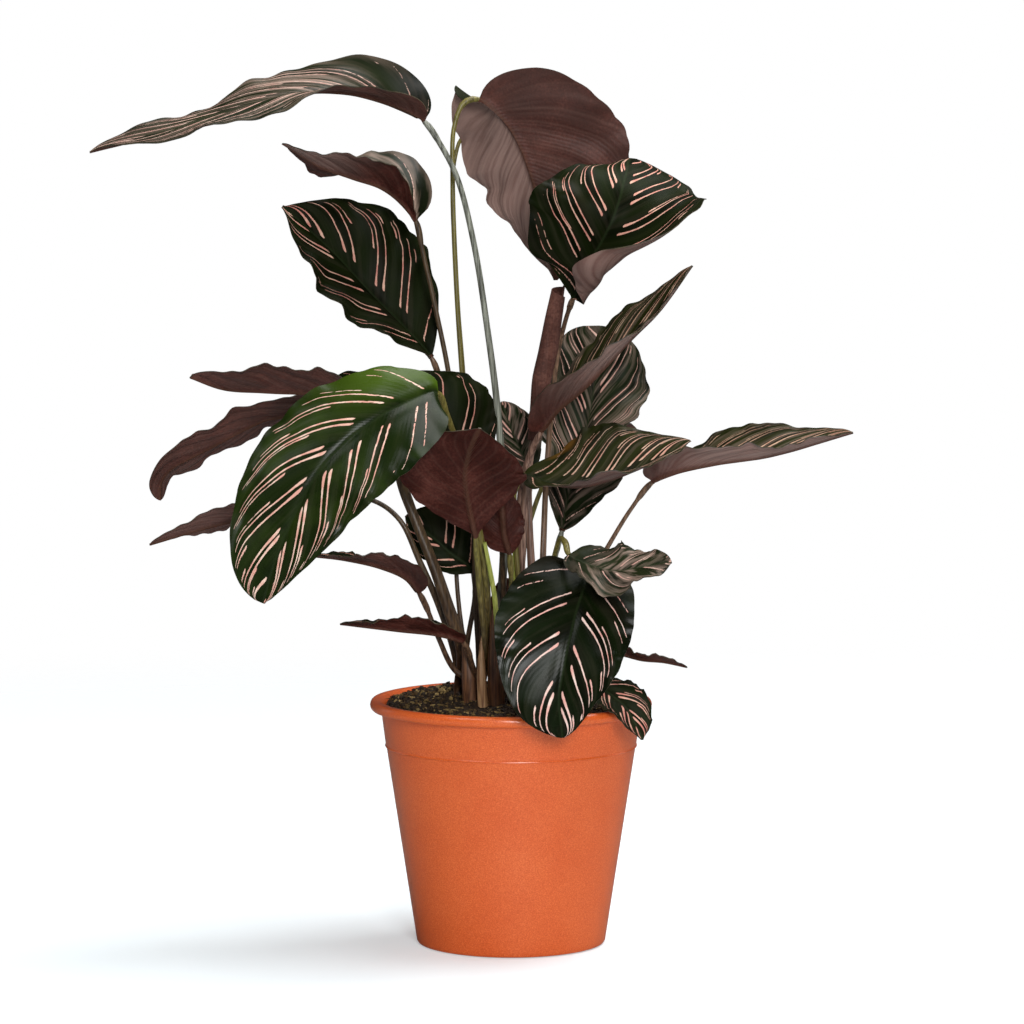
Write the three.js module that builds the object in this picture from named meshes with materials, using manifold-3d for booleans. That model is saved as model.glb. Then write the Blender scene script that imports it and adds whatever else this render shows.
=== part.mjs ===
// A pinstripe calathea in its plastic grower's pot.
// Millimetres, +Z up. The origin is the middle of the pot's foot, on the surface that it stands on.
// The clump grows as eight shoots. Each shoot's leaf stalks sheathe each other at its foot, as one body.
// Each leaf blade is a thin folded and waved sheet with its midrib thickened underneath.
import * as THREE from 'three';
import { mergeVertices } from 'three/addons/utils/BufferGeometryUtils.js';
import Module from 'manifold-3d';

const wasm = await Module();
wasm.setup();

const gap = 0.3;                 // clearance between pieces that touch

// Pot, a 17 cm injection-moulded grower's pot
const pot = {
  rimRadius: 85, height: 148, wall: 1.6, footRadius: 54.5, bodyFootRadius: 57.3, collarRadius: 75.2,
  collarHeight: 119.5, neckRadius: 78.2, lipHeight: 6.2, lipInnerRadius: 78.8, floor: 2.2,
  segments: 36, slots: 8, slotWidth: 3.6, slotLength: 15, slotRadius: 38,
};

// Potting soil: its top is a low mound, higher towards the back
const soil = { edgeHeight: 143.6, tilt: 3, mound: 4, lump: 1, segments: 26, rings: 5 };

// Stalks
const stalk = {
  footRadius: 3.9, neckRadius: 1.8, cushionRadius: 2.3, cushionLength: 13,
  sides: 7, ringStep: 45, ringTurn: 0.2, shortestStep: 6,
};
const stubDepth = 26;            // how far a shoot goes down into the soil
const stubTop = 146;            // just under the soil's surface

// Blades: the table below gives each one's own measures
const blade = {
  thickness: 0.9, ribDepth: 1.5, ribDepthAtTip: 0.3, baseHalfWidth: 1.6, tipHalfWidth: 0.6,
  rowStep: 12, fewestRows: 8, mostRows: 14, lobePlace: 0.07, wideFrom: 36, joint: 0.7,
  stations: [-1, -0.66, -0.32, 0, 0.32, 0.66, 1],
  wideStations: [-1, -0.75, -0.5, -0.25, 0, 0.25, 0.5, 0.75, 1],
};

const colours = {
  pot: '#d9663a', soil: '#2c2118', blade: '#1e3a20', stalk: '#6a5a32', rolled: '#6d4347',
};

// Shoots: where each one comes out of the soil, and its radius there
const shoots = {
  back: { foot: [-4, 40], radius: 6.2 },
  tall: { foot: [-18, 25], radius: 6.6 },
  left: { foot: [-30, 8], radius: 6.4 },
  front_left: { foot: [-18, -10], radius: 7 },
  centre: { foot: [-2, 8], radius: 6.4 },
  front: { foot: [2, -24], radius: 6.6 },
  right: { foot: [16, 18], radius: 6.6 },
  tight: { foot: [17, -8], radius: 7.4 },
};

// Each leaf: its shoot, its stalk's way from the shoot to the blade, its midrib from blade's base to tip,
// and the way that its upper side faces. Width is the widest half left and right of the midrib, and shape how
// sharply each half's outline starts and ends. Wave is the height and number of waves of the margin, and
// lobe how far the blade's base reaches back beside the stalk. Fold is the angle of each half up from flat,
// and curl its further turn out to the margin, in degrees. Face, fold and curl run evenly from base to tip.
const usual = { girth: 1, lobe: 0, curl: { left: [0, 0], right: [0, 0] } };
const leaves = [
  {
    name: 'top_left', shoot: 'tall', girth: 1.1,
    stalk: [[-7, 12, 200], [-4, 5, 256], [-8, 2, 322], [-14, 0, 370], [-22, 0, 421], [-32, -2, 461],
      [-42, -4, 481]],
    rib: [[-52, -5, 495], [-71, -12, 505], [-98, -22, 512], [-130, -32, 511], [-168, -40, 500],
      [-212, -45, 486], [-247, -45, 477]],
    face: [[0.1, -0.5, 1], [0, -0.36, 1], [0, -0.36, 1]], width: [25, 29],
    shape: [[0.45, 0.8], [0.4, 0.8]], wave: [3, 3],
    fold: { left: [62, 30, 4, 2, 25], right: [78, 24, 0, 2, 30] },
  },
  {
    name: 'upper_left_curled', shoot: 'tall',
    stalk: [[-20, 18, 200], [-28, 10, 267], [-37, 6, 341], [-45, 4, 382], [-53, 2, 418]],
    rib: [[-57, 0, 436], [-65, -6, 447], [-77, -12, 456], [-95, -18, 462], [-114, -22, 469],
      [-135, -24, 482]],
    face: [[0.8, -0.1, 0.5], [0.4, 0.05, 0.9], [0, 0.13, 1], [0, 0, 1]], width: [25, 44],
    shape: [[1, 0.9], [0.45, 1]], wave: [1, 3],
    fold: { left: [20, 35, 18, 10], right: [50, 25, 0, -10] },
    curl: { left: [0, 0, 0, 0], right: [-30, 0, 0, 0] },
  },
  {
    name: 'left_flat', shoot: 'tall',
    stalk: [[-20, 22, 200], [-24, 20, 250], [-33, 19, 304], [-43, 17, 340]],
    rib: [[-48, 14, 353], [-64, 18, 371], [-85, 20, 392], [-106, 18, 415], [-137, 10, 444]],
    face: [[0.1, -1, 0.1], [0.1, -1, 0.1], [0, -1, 0.2]], width: [34, 45],
    shape: [[1, 1], [1, 1]], wave: [2.5, 4],
    fold: { left: [55, 48, 45], right: [0, 0, 0] }, curl: { left: [0, 0, 0], right: [-10, -12, -10] },
  },
  {
    name: 'top_right_underside', shoot: 'tall',
    stalk: [[-16, 22, 200], [-22, 18, 255], [-29, 14, 338], [-33, 13, 400], [-35, 14, 460], [-34, 16, 492],
      [-28, 18, 506]],
    rib: [[-19, 20, 508], [-8, 20, 500], [2, 22, 487], [10, 24, 469], [18, 28, 441], [27, 34, 399]],
    face: [[0.2, 1, 0.3], [0.1, 1, 0.2], [0, 1, 0]], width: [46, 60],
    shape: [[0.5, 1.15], [0.65, 0.8]], wave: [2.5, 4], lobe: 18,
    fold: { left: [20, 28, 20], right: [0, 0, 0] }, curl: { left: [0, 0, 0], right: [8, 10, 10] },
  },
  {
    name: 'right_cupped', shoot: 'right',
    stalk: [[19, 20, 220], [22, 24, 290], [28, 17, 354], [32, 8, 373], [35, -6, 384]],
    rib: [[37, -16, 390], [43, -22, 402], [47, -28, 413], [54, -33, 425], [61, -34, 440], [66, -27, 456],
      [69, -10, 467], [71, 8, 473]],
    face: [[0, -1, 0.1], [0, -1, 0.2], [0, -0.7, 0.7]], width: [50, 56],
    shape: [[1.1, 1.5], [0.7, 0.6]], wave: [3, 4],
    fold: { left: [0, 10, 10, 0], right: [0, 0, -8, -5] },
    curl: { left: [0, 0, -10, 0], right: [440, 300, 160, 50, -10, -40] },
  },
  {
    name: 'right_folded', shoot: 'tight', girth: 1.6,
    stalk: [[9, -10, 200], [5, -12, 256], [8, -17, 286], [14, -22, 303]],
    rib: [[18, -25, 311], [27, -27, 324], [40, -30, 335], [54, -33, 349], [70, -34, 366], [88, -33, 384],
      [107, -30, 410]],
    face: [[-0.7, 0, 0.7], [-0.7, 0, 0.7], [-0.6, -0.1, 0.7]], width: [26, 24],
    shape: [[0.6, 0.9], [0.6, 0.9]], wave: [1.5, 3], lobe: 8,
    fold: { left: [30, 30, 38, 39, 30], right: [55, 40, 14, 7, 6] },
  },
  {
    name: 'right_behind', shoot: 'right',
    stalk: [[24, 26, 205], [28, 33, 235]],
    rib: [[31, 36, 246], [35, 38, 267], [42, 41, 292], [48, 45, 316], [51, 49, 334], [54, 54, 354],
      [55, 62, 370]],
    face: [[0, -1, 0.1], [0, -1, 0.1], [0, -0.8, 0.5]], width: [31, 34],
    shape: [[0.8, 0.35], [0.7, 0.5]], wave: [3, 3],
    fold: { left: [25, 20, 0, 0], right: [20, 15, 45, 0, 0] },
  },
  {
    name: 'right_level', shoot: 'tight',
    stalk: [[6, -14, 210], [2, -18, 262], [3, -25, 278]],
    rib: [[8, -30, 286], [22, -36, 282], [38, -40, 280], [54, -43, 283], [71, -44, 289], [89, -42, 297],
      [106, -38, 307]],
    face: [[0, -0.45, 1], [0, -0.45, 1], [-0.1, -0.45, 1]], width: [38, 32],
    shape: [[0.7, 0.9], [0.7, 0.9]], wave: [1.5, 3],
    fold: { left: [20, 33, 35, 30, 20], right: [0, 28, 35, 30, 20] },
  },
  {
    name: 'far_right', shoot: 'right', girth: 0.9,
    stalk: [[33, 14, 194], [56, 8, 235], [72, 4, 262]],
    rib: [[85, 0, 279], [97, -3, 285], [122, -8, 291], [155, -12, 296], [204, -15, 310]],
    face: [[0, 0, 1], [0, 0, 1], [0, 0, 1]], width: [25, 24],
    shape: [[0.5, 0.8], [0.5, 0.8]], wave: [2, 3], lobe: 6,
    fold: { left: [25, 28, 58, 45, 40], right: [48, 36, 21, 17, 12] },
  },
  {
    name: 'front_right', shoot: 'front',
    stalk: [[10, -28, 190], [28, -38, 224], [40, -50, 240]],
    rib: [[46, -60, 237], [43, -74, 225], [37, -88, 207], [32, -97, 186], [28, -100, 163], [30, -98, 138]],
    face: [[0.1, -0.8, 0.6], [0, -1, 0.4], [0, -1, 0]], width: [35, 45],
    shape: [[0.5, 0.7], [0.5, 0.7]], wave: [1, 3], lobe: 6,
    fold: { left: [10, 10, 15, 20], right: [0, 0, 5, 10] },
    curl: { left: [-15, -15, 0, 0], right: [-20, -15, 0, 0] },
  },
  {
    name: 'right_wavy', shoot: 'front',
    stalk: [[14, -30, 190], [24, -44, 232], [29, -62, 251], [32, -73, 249]],
    rib: [[34, -79, 243], [46, -85, 238], [60, -91, 235], [77, -96, 238], [93, -99, 241]],
    face: [[0, -0.5, 0.85], [0, -0.5, 0.85], [0, -0.5, 0.85]], width: [19, 20],
    shape: [[0.5, 0.6], [0.5, 0.6]], wave: [5, 2],
    fold: { left: [20, 10, 10], right: [10, 0, 0] },
  },
  {
    name: 'over_rim', shoot: 'front',
    stalk: [[12, -24, 166], [28, -28, 166]],
    rib: [[42, -36, 162], [57, -48, 158], [68, -60, 150], [77, -75, 134]],
    face: [[0.2, -0.5, 0.8], [0.3, -0.6, 0.7], [0.5, -0.8, 0.3]], width: [17, 16],
    shape: [[0.7, 0.8], [0.7, 0.8]], wave: [1, 2],
    fold: { left: [10, 10, 10], right: [10, 10, 10] },
  },
  {
    name: 'right_low', shoot: 'right',
    stalk: [[26, 14, 170]],
    rib: [[54, 5, 176], [66, 4, 175], [79, 0, 172], [92, -4, 171], [106, -6, 168]],
    face: [[0, 0.4, 0.9], [0, 0.3, 0.95], [0, 0.2, 1]], width: [13, 12],
    shape: [[0.7, 0.8], [0.7, 0.8]], wave: [1, 2],
    fold: { left: [15, 10, 10], right: [15, 10, 10] },
  },
  {
    name: 'front_left', shoot: 'front_left', girth: 1.2,
    stalk: [[-14, -22, 190], [-16, -36, 236], [-23, -42, 272], [-32, -50, 306], [-38, -59, 325]],
    rib: [[-43, -66, 337], [-53, -74, 329], [-67, -84, 315], [-85, -91, 302], [-102, -96, 284],
      [-119, -98, 261], [-132, -97, 240], [-145, -92, 216]],
    face: [[0, -0.9, 0.4], [0, -0.9, 0.4], [0, -0.95, 0.3]], width: [31, 55],
    shape: [[0.85, 0.9], [0.45, 0.3]], wave: [1.5, 4],
    fold: { left: [10, 10, 10], right: [10, 5, 5] }, curl: { left: [0, -10, -10], right: [-30, -15, 0] },
  },
  {
    name: 'left_upper', shoot: 'left', girth: 1.5,
    stalk: [[-29, -6, 179], [-37, -12, 203], [-45, -14, 227], [-57, -14, 257], [-66, -12, 281],
      [-70, -4, 314]],
    rib: [[-76, 5, 337], [-91, 4, 334], [-121, 0, 333], [-149, -6, 334], [-172, -12, 336],
      [-191, -16, 343]],
    face: [[0, -0.3, 1], [0, 0, 1], [0, 0.05, 1], [0, 0, 1]], width: [27, 26],
    shape: [[0.6, 0.5], [0.6, 0.5]], wave: [2, 3],
    fold: { left: [30, 34, 34, 30], right: [45, 10, 10, 20] },
  },
  {
    name: 'left_long', shoot: 'left',
    stalk: [[-36, 14, 190], [-52, 20, 240], [-70, 34, 290], [-84, 48, 324]],
    rib: [[-99, 56, 332], [-129, 54, 318], [-153, 50, 312], [-175, 46, 301], [-194, 42, 291],
      [-207, 38, 284], [-213, 36, 276], [-214, 34, 265]],
    face: [[-0.1, 0.5, 1], [-0.3, 0.55, 0.8], [-0.4, 0.55, 0.8], [-0.7, 0.5, 0.5]], width: [19, 19],
    shape: [[0.6, 0.5], [0.6, 0.5]], wave: [2, 4],
    fold: { left: [10, 10, 10], right: [10, 10, 10] },
  },
  {
    name: 'left_low', shoot: 'left',
    stalk: [[-34, 2, 177], [-43, -2, 204], [-55, -5, 232], [-67, -6, 257], [-84, 2, 268]],
    rib: [[-109, 10, 268], [-139, 5, 263], [-166, 0, 256], [-190, -4, 250], [-217, -6, 242]],
    face: [[0, 0.5, 0.9], [0, 0.6, 0.8], [0, 0.5, 0.9]], width: [14, 13],
    shape: [[0.6, 0.8], [0.6, 0.8]], wave: [1.5, 3],
    fold: { left: [15, 15, 15], right: [15, 15, 15] },
  },
  {
    name: 'left_arched', shoot: 'front_left',
    stalk: [[-34, -12, 167], [-43, -18, 186], [-51, -22, 207]],
    rib: [[-55, -25, 215], [-62, -28, 224], [-77, -32, 231], [-99, -35, 236], [-117, -36, 238]],
    face: [[0.5, 0, 0.8], [0.1, 0.1, 1], [0, 0, 1]], width: [19, 19],
    shape: [[0.5, 0.8], [0.5, 0.8]], wave: [1, 2],
    fold: { left: [45, 20, 10], right: [30, 15, 15] },
  },
  {
    name: 'left_lowest', shoot: 'front_left',
    stalk: [[-22, -24, 168]],
    rib: [[-29, -38, 187], [-42, -42, 192], [-66, -46, 195], [-101, -48, 199]],
    face: [[0, 0, 1], [0, 0.2, 1], [0, 0, 1]], width: [17, 17],
    shape: [[0.55, 0.8], [0.55, 0.8]], wave: [1, 2],
    fold: { left: [25, 22, 15], right: [30, 20, 15] },
  },
  {
    name: 'centre_underside', shoot: 'front_left', girth: 1.3,
    stalk: [[-15, -26, 180], [-18, -34, 212], [-20, -40, 236]],
    rib: [[-21, -45, 250], [-25, -52, 270], [-27, -62, 287], [-24, -74, 304], [-18, -88, 318]],
    face: [[0, 0.8, 0.5], [0, 0.8, 0.7], [0, 0.6, 0.8]], width: [36, 39],
    shape: [[1.15, 0.9], [1.15, 0.9]], wave: [1, 2],
    fold: { left: [10, 10, 10], right: [10, 10, 10] }, curl: { left: [-10, -20, -10], right: [0, 0, 0] },
  },
  {
    name: 'centre_dark', shoot: 'centre',
    stalk: [[0, -14, 196], [0, -24, 222]],
    rib: [[-1, -30, 239], [-4, -33, 250], [-5, -35, 264], [-6, -36, 280]],
    face: [[0, 1, 0.1], [0, 1, 0.1], [0, 1, 0.1]], width: [13, 15],
    shape: [[0.6, 0.8], [0.6, 0.8]], wave: [1, 2],
    fold: { left: [10, 10, 10], right: [10, 10, 10] },
  },
  {
    name: 'centre_left', shoot: 'centre',
    stalk: [[-4, -2, 200], [-6, -18, 250], [-8, -28, 274]],
    rib: [[-14, -33, 285], [-27, -36, 301], [-41, -38, 319], [-53, -36, 333], [-63, -34, 347]],
    face: [[0, -1, 0.2], [0, -1, 0.2], [0, -1, 0.2]], width: [30, 32],
    shape: [[1, 0.9], [1, 0.9]], wave: [2, 3],
    fold: { left: [10, 10, 10], right: [5, 5, 5] },
  },
  {
    name: 'centre_small', shoot: 'centre',
    stalk: [[4, 16, 200], [10, 22, 262]],
    rib: [[11, 23, 283], [5, 24, 298], [-1, 24, 312], [-5, 24, 326]],
    face: [[0, -1, 0.2], [0, -1, 0.2], [0, -1, 0.2]], width: [10, 16],
    shape: [[0.7, 0.7], [0.7, 0.7]], wave: [1.5, 2],
    fold: { left: [10, 10, 10], right: [10, 10, 10] },
  },
  {
    name: 'centre_low', shoot: 'centre',
    stalk: [[1, 22, 170]],
    rib: [[2, 30, 181], [0, 33, 194], [-2, 34, 206], [-4, 34, 217]],
    face: [[0, 1, 0.1], [0, 1, 0.1], [0, 1, 0.1]], width: [13, 12],
    shape: [[0.6, 0.6], [0.6, 0.6]], wave: [1, 2],
    fold: { left: [10, 10, 10], right: [10, 10, 10] },
  },
  {
    name: 'low_left', shoot: 'left',
    stalk: [[-26, 4, 184], [-22, 2, 208]],
    rib: [[-22, 1, 224], [-35, 2, 235], [-49, 2, 247], [-63, 2, 259]],
    face: [[0, -1, 0.2], [0, -1, 0.2], [0, -1, 0.2]], width: [14, 26],
    shape: [[0.8, 0.8], [0.8, 0.8]], wave: [1.5, 2],
    fold: { left: [0, 0, 0], right: [0, 0, 0] },
  },
  {
    name: 'back_left', shoot: 'back',
    stalk: [[-14, 50, 200], [-34, 62, 270]],
    rib: [[-52, 72, 306], [-74, 86, 312], [-98, 100, 300], [-120, 112, 272]],
    face: [[0, 0.3, 0.9], [-0.2, 0.5, 0.9], [-0.5, 0.7, 0.5]], width: [34, 34],
    shape: [[0.7, 0.8], [0.7, 0.8]], wave: [2, 4],
    fold: { left: [15, 10, 5], right: [15, 10, 5] },
  },
  {
    name: 'back_right', shoot: 'back',
    stalk: [[0, 52, 200], [16, 68, 262]],
    rib: [[30, 78, 290], [42, 96, 300], [50, 118, 296], [58, 142, 276]],
    face: [[0, 0, 1], [0.2, 0.4, 0.9], [0.3, 0.8, 0.5]], width: [34, 34],
    shape: [[0.7, 0.8], [0.7, 0.8]], wave: [2, 4],
    fold: { left: [15, 10, 5], right: [15, 10, 5] },
  },
  {
    name: 'back_top', shoot: 'back',
    stalk: [[-20, 46, 220], [-30, 46, 320], [-30, 48, 420], [-20, 54, 458]],
    rib: [[-8, 62, 474], [6, 78, 480], [20, 98, 474], [30, 120, 452]],
    face: [[0, -0.3, 1], [0.1, 0.3, 1], [0.2, 0.8, 0.6]], width: [32, 32],
    shape: [[0.7, 0.8], [0.7, 0.8]], wave: [2, 4],
    fold: { left: [20, 10, 5], right: [20, 10, 5] },
  },
].map((leaf) => ({ ...usual, ...leaf }));

// The young leaf that is still rolled up, with its stalk
const rolledLeaf = {
  shoot: 'tight', girth: 1.3, stalk: [[14, -2, 200], [11, 0, 256], [11, 1, 284]],
  path: [[13, 2, 304], [16, 2, 322], [18, 2, 340], [22, 2, 358], [25, 0, 376], [29, -3, 398]],
  radii: [3.6, 5.6, 6.4, 6.4, 5.6, 4.2],
};

// A value part way along a list of values that are spread evenly from base to tip
function along(values, t) {
  const last = values.length - 1;
  const i = Math.min(last - 1, Math.floor(t * last));
  const part = t * last - i;
  const [a, b] = [values[i], values[i + 1]];
  const startSlope = (b - values[Math.max(0, i - 1)]) / 2;
  const endSlope = (values[Math.min(last, i + 2)] - a) / 2;
  const rise = part * part * (3 - 2 * part);
  return a + (b - a) * rise + startSlope * part * (1 - part) ** 2 - endSlope * part ** 2 * (1 - part);
}

// Points at these shares of the length of a curve between two of its parameters, and the way it runs at each
function pointsAlong(curve, from, to, shares) {
  const fine = 200;
  const points = Array.from({ length: fine + 1 }, (_, i) => (
    curve.getPoint(from + (to - from) * i / fine)));
  const lengths = [0];
  for (let i = 1; i <= fine; i++) lengths.push(lengths[i - 1] + points[i].distanceTo(points[i - 1]));
  const spine = [];
  const ways = [];
  for (const share of shares) {
    const wanted = share * lengths[fine];
    let i = 1;
    while (i < fine && lengths[i] < wanted) i++;
    const part = (wanted - lengths[i - 1]) / (lengths[i] - lengths[i - 1]);
    spine.push(points[i - 1].clone().lerp(points[i], part));
    ways.push(points[Math.min(fine, i + 1)].clone().sub(points[Math.max(0, i - 2)]).normalize());
  }
  return { spine, ways, length: lengths[fine] };
}

// A closed skin over rings of equally many points. Quads from ring place `turn` on are split the other way.
function loft(rings, turn = Infinity) {
  const size = rings[0].length;
  const triangles = [];
  const at = (row, place) => row * size + (place % size);
  for (let row = 0; row + 1 < rings.length; row++) {
    for (let k = 0; k < size; k++) {
      const [a, b, c, d] = [at(row, k), at(row, k + 1), at(row + 1, k + 1), at(row + 1, k)];
      if (k < turn) triangles.push(a, b, c, a, c, d);
      else triangles.push(a, b, d, b, c, d);
    }
  }
  const last = rings.length - 1;
  for (let k = 0; k < size / 2 - 1; k++) {
    const [p, q, r, s] = [k, k + 1, size - 2 - k, size - 1 - k];
    triangles.push(at(0, p), at(0, s), at(0, r));
    if (q !== r) triangles.push(at(0, p), at(0, r), at(0, q));
    triangles.push(at(last, p), at(last, r), at(last, s));
    if (q !== r) triangles.push(at(last, p), at(last, q), at(last, r));
  }
  const geometry = new THREE.BufferGeometry();
  const places = rings.flat().flatMap((v) => v.toArray());
  geometry.setAttribute('position', new THREE.Float32BufferAttribute(places, 3));
  geometry.setIndex(triangles);
  return geometry;
}

// A round tube with its own radius at each point
function tube(points, ways, radii, sides) {
  let across = new THREE.Vector3(0, 1, 0).cross(ways[0]);
  if (across.length() < 0.1) across = new THREE.Vector3(1, 0, 0);
  const rings = points.map((point, i) => {
    across = across.clone().addScaledVector(ways[i], -across.dot(ways[i])).normalize();
    const other = ways[i].clone().cross(across);
    return Array.from({ length: sides }, (_, k) => {
      const angle = 2 * Math.PI * k / sides;
      return point.clone().addScaledVector(across, radii[i] * Math.cos(angle))
        .addScaledVector(other, radii[i] * Math.sin(angle));
    });
  });
  return loft(rings);
}

// Half width of a blade as a share of its widest
function outline([start, end], t) {
  const widest = start / (start + end);
  return (t / widest) ** start * ((1 - t) / (1 - widest)) ** end;
}

function smoothCurve(points) {
  return new THREE.CatmullRomCurve3(points.map((p) => new THREE.Vector3(...p)), false, 'centripetal');
}

// The solid of one blade
function bladeGeometry(leaf) {
  const curve = smoothCurve([...leaf.stalk.slice(-1), ...leaf.rib]);
  const { length } = pointsAlong(curve, 1 / leaf.rib.length, 1, [0]);
  const rows = THREE.MathUtils.clamp(Math.round(length / blade.rowStep), blade.fewestRows, blade.mostRows);
  const shares = Array.from({ length: rows + 1 }, (_, i) => (
    (i / rows + (1 - Math.cos(Math.PI * i / rows)) / 2) / 2));
  const { spine, ways } = pointsAlong(curve, 1 / leaf.rib.length, 1, shares);
  spine[0].addScaledVector(ways[0], blade.joint / 2);
  const stations = Math.max(...leaf.width) > blade.wideFrom ? blade.wideStations : blade.stations;
  const rings = spine.map((point, row) => {
    const t = shares[row];
    const way = ways[row];
    const up = new THREE.Vector3(...[0, 1, 2].map((axis) => along(leaf.face.map((f) => f[axis]), t)));
    up.addScaledVector(way, -up.dot(way)).normalize();
    const across = way.clone().cross(up);
    const least = blade.baseHalfWidth + (blade.tipHalfWidth - blade.baseHalfWidth) * t;
    const rib = blade.ribDepth + (blade.ribDepthAtTip - blade.ribDepth) * t;
    const lobe = leaf.lobe * t / blade.lobePlace * Math.exp(1 - t / blade.lobePlace);
    const top = [];
    const under = [];
    for (const s of stations) {
      const side = s < 0 ? 'left' : 'right';
      const widest = leaf.width[s < 0 ? 0 : 1];
      const u = Math.abs(s) * Math.max(least, widest * outline(leaf.shape[s < 0 ? 0 : 1], t));
      const fold = THREE.MathUtils.degToRad(along(leaf.fold[side], t));
      const bend = THREE.MathUtils.degToRad(along(leaf.curl[side], t)) / widest;
      const angle = fold + bend * u;
      const straight = Math.abs(bend) < 1e-6;
      let out = straight ? u * Math.cos(fold) : (Math.sin(angle) - Math.sin(fold)) / bend;
      let lift = straight ? u * Math.sin(fold) : (Math.cos(fold) - Math.cos(angle)) / bend;
      const phase = s < 0 ? 0.3 : 0.75;
      const ripple = Math.sin(2 * Math.PI * (leaf.wave[1] * t + phase));
      const wave = leaf.wave[0] * s * s * Math.sin(Math.PI * t) * ripple;
      out -= wave * Math.sin(angle);
      lift += wave * Math.cos(angle);
      const middle = point.clone().addScaledVector(across, Math.sign(s) * out).addScaledVector(up, lift)
        .addScaledVector(way, -lobe * s * s);
      const lean = s === 0 ? 0 : angle;
      const normal = up.clone().multiplyScalar(Math.cos(lean))
        .addScaledVector(across, -Math.sign(s) * Math.sin(lean));
      top.push(middle.clone().addScaledVector(normal, blade.thickness / 2));
      under.unshift(middle.clone().addScaledVector(normal, -blade.thickness / 2 - (s === 0 ? rib : 0)));
    }
    return [...top, ...under];
  });
  return loft(rings, stations.length);
}

// The solid of one leaf stalk, from inside its shoot's foot to the blade
function stalkGeometry(leaf, foot) {
  const rising = [stubTop, stubTop + 8].map((z) => [foot[0], foot[1], z]);
  const curve = smoothCurve([foot, ...rising, ...leaf.stalk, ...leaf.rib.slice(0, 2)]);
  const end = 1 - 1 / (leaf.stalk.length + 4);
  const steps = 60;
  const fine = pointsAlong(curve, 0, end, Array.from({ length: steps + 1 }, (_, i) => i / steps));
  const { length } = fine;
  const shares = [0];
  let last = 0;
  for (let i = 1; i < steps; i++) {
    const gone = (i - last) / steps * length;
    const far = gone > stalk.ringStep;
    const bent = fine.ways[i].angleTo(fine.ways[last]) > stalk.ringTurn && gone > stalk.shortestStep;
    if (i / steps * length < length - stalk.cushionLength - 4 && (far || bent)) {
      shares.push(i / steps);
      last = i;
    }
  }
  shares.push(1 - stalk.cushionLength / length, 1 - stalk.cushionLength / length / 3, 1);
  const { spine, ways } = pointsAlong(curve, 0, end, shares);
  spine[spine.length - 1].addScaledVector(ways[ways.length - 1], -blade.joint / 2);
  const radii = shares.map((share, i) => {
    if (i === shares.length - 1) return stalk.cushionRadius * 0.7;
    if (i >= shares.length - 3) return stalk.cushionRadius;
    return leaf.girth * (stalk.neckRadius + (stalk.footRadius - stalk.neckRadius) * (1 - share) ** 1.5);
  });
  return tube(spine, ways, radii, stalk.sides);
}

function toSolid(geometry) {
  const bare = geometry.clone();
  for (const name of ['normal', 'uv']) bare.deleteAttribute(name);
  const merged = mergeVertices(bare, 1e-4);
  const vertProperties = merged.attributes.position.array;
  const triVerts = new Uint32Array(merged.index.array);
  return new wasm.Manifold(new wasm.Mesh({ numProp: 3, vertProperties, triVerts }));
}

function toGeometry(solid) {
  const mesh = solid.getMesh();
  const geometry = new THREE.BufferGeometry();
  geometry.setAttribute('position', new THREE.BufferAttribute(mesh.vertProperties, 3));
  geometry.setIndex(new THREE.BufferAttribute(mesh.triVerts, 1));
  return geometry;
}

function upright(radius, from, to, x, y, sides) {
  const geometry = new THREE.CylinderGeometry(radius, radius, to - from, sides);
  return geometry.rotateX(Math.PI / 2).translate(x, y, (from + to) / 2);
}

function lathe(profile, segments) {
  const points = profile.map(([r, z]) => new THREE.Vector2(r, z));
  return new THREE.LatheGeometry(points, segments).rotateX(Math.PI / 2);
}

const group = new THREE.Group();
const materials = Object.fromEntries(Object.entries(colours).map(([name, color]) => {
  const roughness = name === 'pot' ? 0.45 : 0.6;
  return [name, new THREE.MeshStandardMaterial({ name, color, roughness, metalness: 0 })];
}));

function add(name, geometry, material) {
  const mesh = new THREE.Mesh(geometry, materials[material]);
  mesh.name = name;
  group.add(mesh);
}

// Pot: tapering wall with a collar step, and a rolled lip, with drain slots cut through its floor
const innerFoot = pot.bodyFootRadius - pot.wall;
const lipTop = pot.height;
const potProfile = [
  [0, 0], [pot.footRadius, 0],
  [pot.bodyFootRadius - 0.6, 1], [pot.bodyFootRadius, 3], [pot.collarRadius, pot.collarHeight],
  [pot.collarRadius + 0.7, pot.collarHeight + 0.8], [pot.neckRadius, lipTop - pot.lipHeight],
  [pot.rimRadius - 1.2, lipTop - pot.lipHeight - 0.4], [pot.rimRadius, lipTop - pot.lipHeight + 0.8],
  [pot.rimRadius, lipTop - 2.4], [pot.rimRadius - 1.8, lipTop - 0.5], [pot.rimRadius - 3.6, lipTop],
  [pot.lipInnerRadius, lipTop - 0.8], [pot.neckRadius - pot.wall, lipTop - 3],
  [innerFoot + 0.2, pot.floor + 2], [innerFoot - 2, pot.floor], [0, pot.floor],
];
let potSolid = toSolid(lathe(potProfile, pot.segments));
for (let i = 0; i < pot.slots; i++) {
  const slot = new THREE.BoxGeometry(pot.slotLength, pot.slotWidth, 12).translate(pot.slotRadius, 0, 4);
  potSolid = potSolid.subtract(toSolid(slot.rotateZ(2 * Math.PI * i / pot.slots)));
}
add('pot', toGeometry(potSolid), 'pot');

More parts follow.
